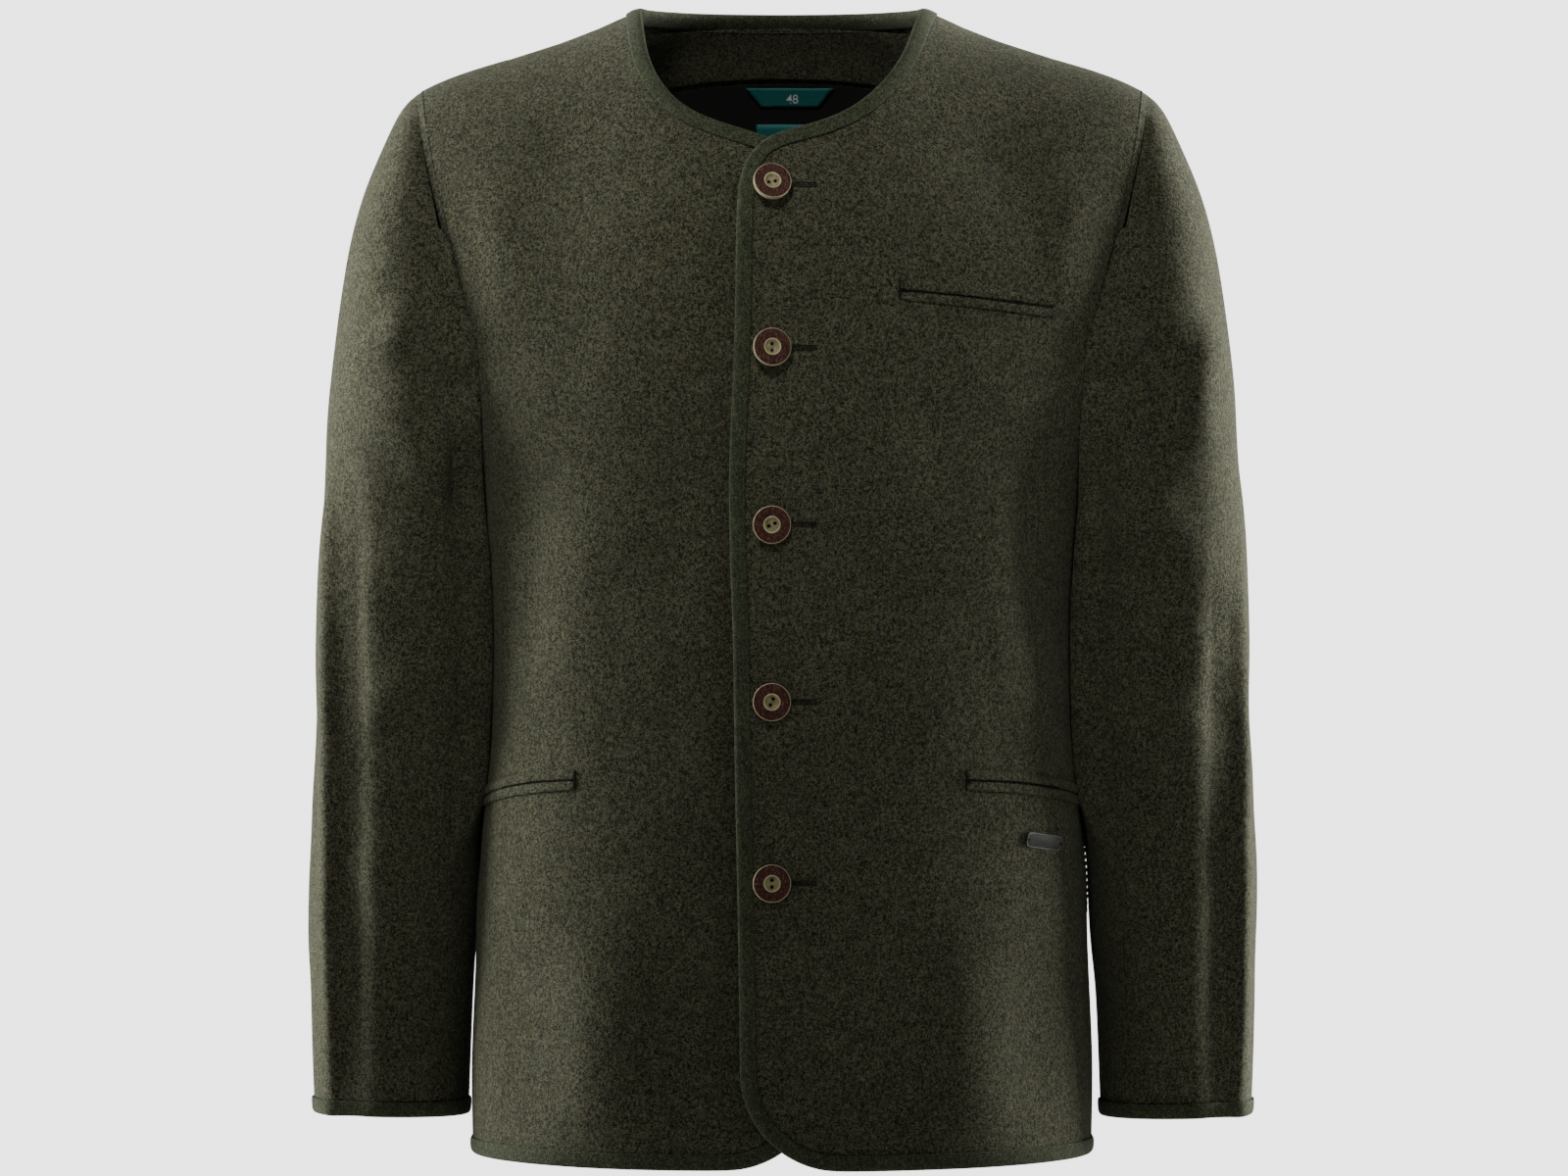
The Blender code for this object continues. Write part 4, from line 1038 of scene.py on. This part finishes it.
def makeButton(number):
    node = "button_" + str(number)
    points = pointsOf(nodes[node].data)
    low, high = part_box(node)
    centre = (np.array(low) + np.array(high)) / 2
    axes = np.linalg.svd(points - centre, full_matrices=False)[2]
    out = axes[2] * (-1 if axes[2][1] > 0 else 1)
    tip = button["tips"][number - 1]
    out = out + np.array((tip, 0.0, tip))
    out /= np.linalg.norm(out)
    mesh = bpy.data.meshes.new("button" + str(number))
    profile = [(r, 0, h) for r, h in button["profile"]]
    mesh.from_pydata(profile, [(k, k + 1) for k in range(len(profile) - 1)], [])
    piece = newObject("button" + str(number), mesh)
    editAll(piece)
    bpy.ops.mesh.spin(steps=button["steps"], angle=math.radians(360), center=(0, 0, 0), axis=(0, 0, 1))
    bpy.ops.mesh.select_all(action="SELECT")
    bpy.ops.mesh.remove_doubles(threshold=0.00002)
    bpy.ops.mesh.normals_make_consistent(inside=False)
    bpy.ops.object.mode_set(mode="OBJECT")
    for side in (-1, 1):
        bpy.ops.mesh.primitive_cylinder_add(
            vertices=16, radius=button["hole"], depth=0.01, location=(side * button["apart"] / 2, 0, 0)
        )
        cutter = bpy.context.active_object
        cut = piece.modifiers.new("hole", "BOOLEAN")
        cut.object = cutter
        cut.solver = "EXACT"
        applyAll(piece)
        bpy.data.objects.remove(cutter)
    piece.data.materials.clear()
    for material in (horn, ivory, cream, paintedRecessShade, paintedDishShade):
        piece.data.materials.append(material)
    for face in piece.data.polygons:
        reach = math.hypot(face.center.x, face.center.y)
        fromHole = math.hypot(abs(face.center.x) - button["apart"] / 2, face.center.y)
        nearHole = abs(fromHole - button["hole"]) < 0.0001
        # the walls of the holes are painted near black as shade
        if nearHole and abs(face.normal.z) < 0.3:
            face.material_index = 3
        elif reach < button["middle"] and face.center.z > 0.0005:
            # the lip keeps the plain ivory; inside it the dish gets the darker ivory, painted shade
            face.material_index = 1 if reach > button["paintedDishShade"] else 4
        elif reach > button["rim"] or face.center.z < 0.0005:
            face.material_index = 2
    turn = math.radians(button["turns"][number - 1])
    across = np.array((math.cos(turn), 0.0, math.sin(turn)))
    across -= out * (across @ out)
    across /= np.linalg.norm(across)
    seat = centre - out * (button["sunk"] - tip * button["tipRaises"])
    setPoints(piece.data, onAxes(pointsOf(piece.data), seat, across, np.cross(out, across), out))
    followCloth(piece, True)
    activate(piece)
    bpy.ops.object.shade_smooth_by_angle(angle=math.radians(40))
    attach(piece, "root")
    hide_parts(node)


for number in range(1, 6):
    makeButton(number)
print("buttons made")

# buttonholes: a raised lip above and below the slit, each bordered by a dark row of thread
hole = {
    "half": 0.00130,
    "pitch": 0.00105,
    "length": 0.0015,
    "width": 0.00075,
    "height": 0.00080,
    "before": 0.0015,
    "beyond": 0.0008,
    "endBar": 0.0010,
    "endPitch": 0.0009,
}
lip = {"length": 0.0016, "width": 0.0013, "height": 0.0009}
holeGrain = stitchGrain(hole["length"], hole["width"], hole["height"])
lipGrain = stitchGrain(lip["length"], lip["width"], lip["height"])
for number in range(1, 6):
    low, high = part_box("buttonhole_" + str(number))
    z = (low[2] + high[2]) / 2
    rows = {"thread": [], "lip": []}
    for side in (-1, 1):
        x = low[0] - hole["before"]
        while x < high[0] + hole["beyond"]:
            for kind, away, raised in (("thread", hole["half"], 0.0004), ("lip", 0.0, 0.0001)):
                place, out = clothAt(x, z + side * away)
                rows[kind].append((place + out * raised, np.array((1.0, 0.0, 0.0)), out))
            x += hole["pitch"]
    for k in range(3):
        place, out = clothAt(high[0] + hole["endBar"], z + (k - 1) * hole["endPitch"])
        rows["thread"].append((place + out * 0.0002, np.array((0.0, 0.0, 1.0)), out))
    piece = stampRow("buttonhole" + str(number), holeGrain, rows["thread"], thread)
    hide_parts("buttonhole_" + str(number))
    stampRow("buttonholeLip" + str(number), lipGrain, rows["lip"], loden)
print("buttonholes made")

# neck: facing, lining and the two ribbons
backFacing = softNode("back_facing", "backFacing", loden)
backLining = softNode("back_lining", "backLining", lining)
sizeTab = softNode("size_tab", "sizeTab", teal, "SIMPLE")
bareLabel = softNode("bare_label", "bareLabel", teal, "SIMPLE")
backPiece = sheets["back"][0]


# moves points up the inside of the back and keeps each as far from its wall as before
def slideUp(piece, rises):
    wall = treeOf(backPiece)
    points = pointsOf(piece.data)
    for k, rise in enumerate(rises(points)):
        before = wall.ray_cast(Vector((points[k, 0], -0.02, points[k, 2])), Vector((0, 1, 0)))[0]
        after = wall.ray_cast(Vector((points[k, 0], -0.02, points[k, 2] + rise)), Vector((0, 1, 0)))[0]
        if before is not None and after is not None:
            points[k, 1] += after.y - before.y
            points[k, 2] += rise
    setPoints(piece.data, points)


facingStretch = {"low": -0.040, "top": -0.019, "bow": 0.9, "rise": 0.0066}
tabRise = 0.0020


def facingRise(points):
    height = points[:, 2] + facingStretch["bow"] * points[:, 0] ** 2
    return facingStretch["rise"] * smoothStep(facingStretch["low"], facingStretch["top"], height)


slideUp(backFacing, facingRise)
slideUp(sizeTab, lambda points: np.full(len(points), tabRise))
sheets["back_facing"] = (backFacing, "stretched", (backPiece,))
sheets["back_lining"] = (backLining, "hung", (backPiece,))
sheets["size_tab"] = (sizeTab, "hung", (backFacing,))
sheets["bare_label"] = (bareLabel, "hung", (backLining,))

# the plain number on the size tab, laid on its front
tabNumber = {"text": "48", "size": 0.0080, "x": 0.0066, "z": -0.0535, "raised": 0.00015, "bold": 0.00004}
tabTree = treeOf(sizeTab)
bpy.ops.object.text_add(location=(0, 0, 0))
written = bpy.context.active_object
written.name = "tabNumber"
written.data.body = tabNumber["text"]
written.data.size = tabNumber["size"]
written.data.align_x = "CENTER"
written.data.offset = tabNumber["bold"]
bpy.ops.object.convert(target="MESH")
local = pointsOf(written.data)
placed = np.empty_like(local)
for k, (x, y, z) in enumerate(local):
    spot = Vector((tabNumber["x"] + x, -0.2, tabNumber["z"] + y))
    hit = tabTree.ray_cast(spot, Vector((0, 1, 0)))
    placed[k] = hit[0] if hit[0] is not None else (spot.x, 0.07, spot.z)
    placed[k, 1] -= tabNumber["raised"]
setPoints(written.data, placed)
finishPiece(written, white)
sewnOn["size_tab"].append(written)

# a pale row of stitches under the binding inside the back of the neck
neckRow = {"half": 0.076, "step": 0.002, "near": 0.004, "below": 0.0006, "off": 0.0003}
neckPoints = pointsOf(bindings["neck_binding_back"].data)
insideTree = treeOf(backPiece, backFacing)
line = []
for x in np.arange(-neckRow["half"], neckRow["half"] + neckRow["step"] / 4, neckRow["step"]):
    near = neckPoints[np.abs(neckPoints[:, 0] - x) < neckRow["near"]]
    z = near[:, 2].min() - neckRow["below"]
    hit = insideTree.ray_cast(Vector((x, -0.2, z)), Vector((0, 1, 0)))
    if hit[0] is not None and hit[0].y > 0.02:
        line.append(tuple(hit[0] - Vector((0, neckRow["off"], 0))))
inFront = np.array((0.0, -1.0, 0.0))
places = [(spot, direction, inFront) for spot, direction in zip(*resample(line, stitchPitch))]
sewnOn["neck_binding_back"].append(stampRow("neckInsideStitches", grain, places, paleThread))

# the bare plate, rounded at its corners, with near-black discs as painted shade for its sewing holes, and
# thread at both ends
plateEnd = {"hole": 0.0009, "in": 0.0016, "length": 0.0030, "width": 0.0009, "height": 0.0007}
plateShape = {
    "left": (0.1510, -0.5223),
    "right": (0.1734, -0.5264),
    "height": 0.0096,
    "thick": 0.0009,
    "round": 0.0022,
    "edge": 0.00025,
}
plateFirst = clothAt(*plateShape["left"])[0]
plateLast = clothAt(*plateShape["right"])[0]
plateRun = (plateLast - plateFirst) / np.linalg.norm(plateLast - plateFirst)
plateHalf = np.linalg.norm(plateLast - plateFirst) / 2
plateUp = np.cross(plateRun, inFront)
plateUp = -plateUp if plateUp[2] < 0 else plateUp
plateUp /= np.linalg.norm(plateUp)
plateOut = np.cross(plateRun, plateUp)
plateOut = -plateOut if plateOut[1] > 0 else plateOut
middlePlace = clothAt((plateFirst[0] + plateLast[0]) / 2, (plateFirst[2] + plateLast[2]) / 2)[0]
plateMiddle = middlePlace + plateOut * (plateShape["thick"] / 2 + 0.0002)
bpy.ops.mesh.primitive_cube_add(size=1)
plate = bpy.context.active_object
plate.name = "barePlate"
plateSize = np.array((plateHalf * 2, plateShape["height"], plateShape["thick"]))
setPoints(plate.data, pointsOf(plate.data) * plateSize)
activate(plate)
bpy.ops.object.mode_set(mode="EDIT")
bpy.ops.mesh.select_mode(type="EDGE")
bpy.ops.mesh.select_all(action="DESELECT")
bpy.ops.object.mode_set(mode="OBJECT")
for edge in plate.data.edges:
    first, last = (plate.data.vertices[k].co for k in edge.vertices)
    edge.select = abs(first.z - last.z) > plateShape["thick"] / 2
bpy.ops.object.mode_set(mode="EDIT")
bpy.ops.mesh.bevel(offset=plateShape["round"], segments=4)
bpy.ops.object.mode_set(mode="OBJECT")
softEdge = plate.modifiers.new("softEdge", "BEVEL")
softEdge.width = plateShape["edge"]
softEdge.segments = 2
applyAll(plate)
setPoints(plate.data, onAxes(pointsOf(plate.data), plateMiddle, plateRun, plateUp, plateOut))
activate(plate)
bpy.ops.object.shade_smooth_by_angle(angle=math.radians(30))
finishPiece(plate, steel, ("metal_plate",))
plateGrain = stitchGrain(plateEnd["length"], plateEnd["width"], plateEnd["height"])
eyeGrain = stitchGrain(plateEnd["hole"] * 2, plateEnd["hole"] * 2, 0.0004)
eyes = []
threads = []
for side in (-1, 1):
    at = plateMiddle + plateRun * side * (plateHalf - plateEnd["in"]) + plateOut * plateShape["thick"] / 2
    eyes.append((at, np.array((1.0, 0.0, 0.0)), plateOut))
    threads.append((at + plateRun * side * 0.0014 + plateOut * 0.0002, plateRun, plateOut))
# near-black discs, painted shade where the sewing holes are
stampRow("plateHoleShade", eyeGrain, eyes, paintedRecessShade)
stampRow("plateThread", plateGrain, threads, thread)

# its bright raised rim
rim = {"in": 0.0005, "length": 0.0016, "width": 0.0007, "height": 0.0006, "pitch": 0.0007}
rimHigh = plateShape["height"] / 2 - rim["in"]
rimWide = plateHalf - rim["in"]
corners = [(1, -0.5), (1, 0.5), (0.95, 0.8), (0.84, 1), (-0.84, 1), (-0.95, 0.8), (-1, 0.5)]
corners += [(-1, -0.5), (-0.95, -0.8), (-0.84, -1), (0.84, -1), (0.95, -0.8), (1, -0.5)]
rimLine = [
    plateMiddle + plateRun * a * rimWide + plateUp * b * rimHigh + plateOut * plateShape["thick"] / 2
    for a, b in corners
]
rimPlaces = [(at, run, plateOut) for at, run in zip(*resample(rimLine, rim["pitch"]))]
rimGrain = stitchGrain(rim["length"], rim["width"], rim["height"])
stampRow("plateRim", rimGrain, rimPlaces, brightSteel)
print("trims made")

# pale floor below the jacket, bright only where the camera sees it
floorLook = {"size": 7, "height": -1.10, "grey": 0.25, "seen": 2.9}
bpy.ops.mesh.primitive_plane_add(size=floorLook["size"], location=(0, 0, floorLook["height"]))
floor = bpy.context.active_object
floor.name = "floor"
floorColour = (floorLook["grey"],) * 3
floorMaterial = plainMaterial("floorPaint", floorColour, 1.0, scale=3, contrast=0.01, bump=0.0)
floor.data.materials.append(floorMaterial)
floorTree = floorMaterial.node_tree
floorShader = floorTree.nodes["Principled BSDF"]
floorShader.inputs["Emission Color"].default_value = (1, 1, 1, 1)
floorSeen = floorTree.nodes.new("ShaderNodeLightPath")
floorStrength = mathNode(floorTree, "MULTIPLY", floorSeen.outputs["Is Camera Ray"], floorLook["seen"])
floorTree.links.new(floorStrength, floorShader.inputs["Emission Strength"])
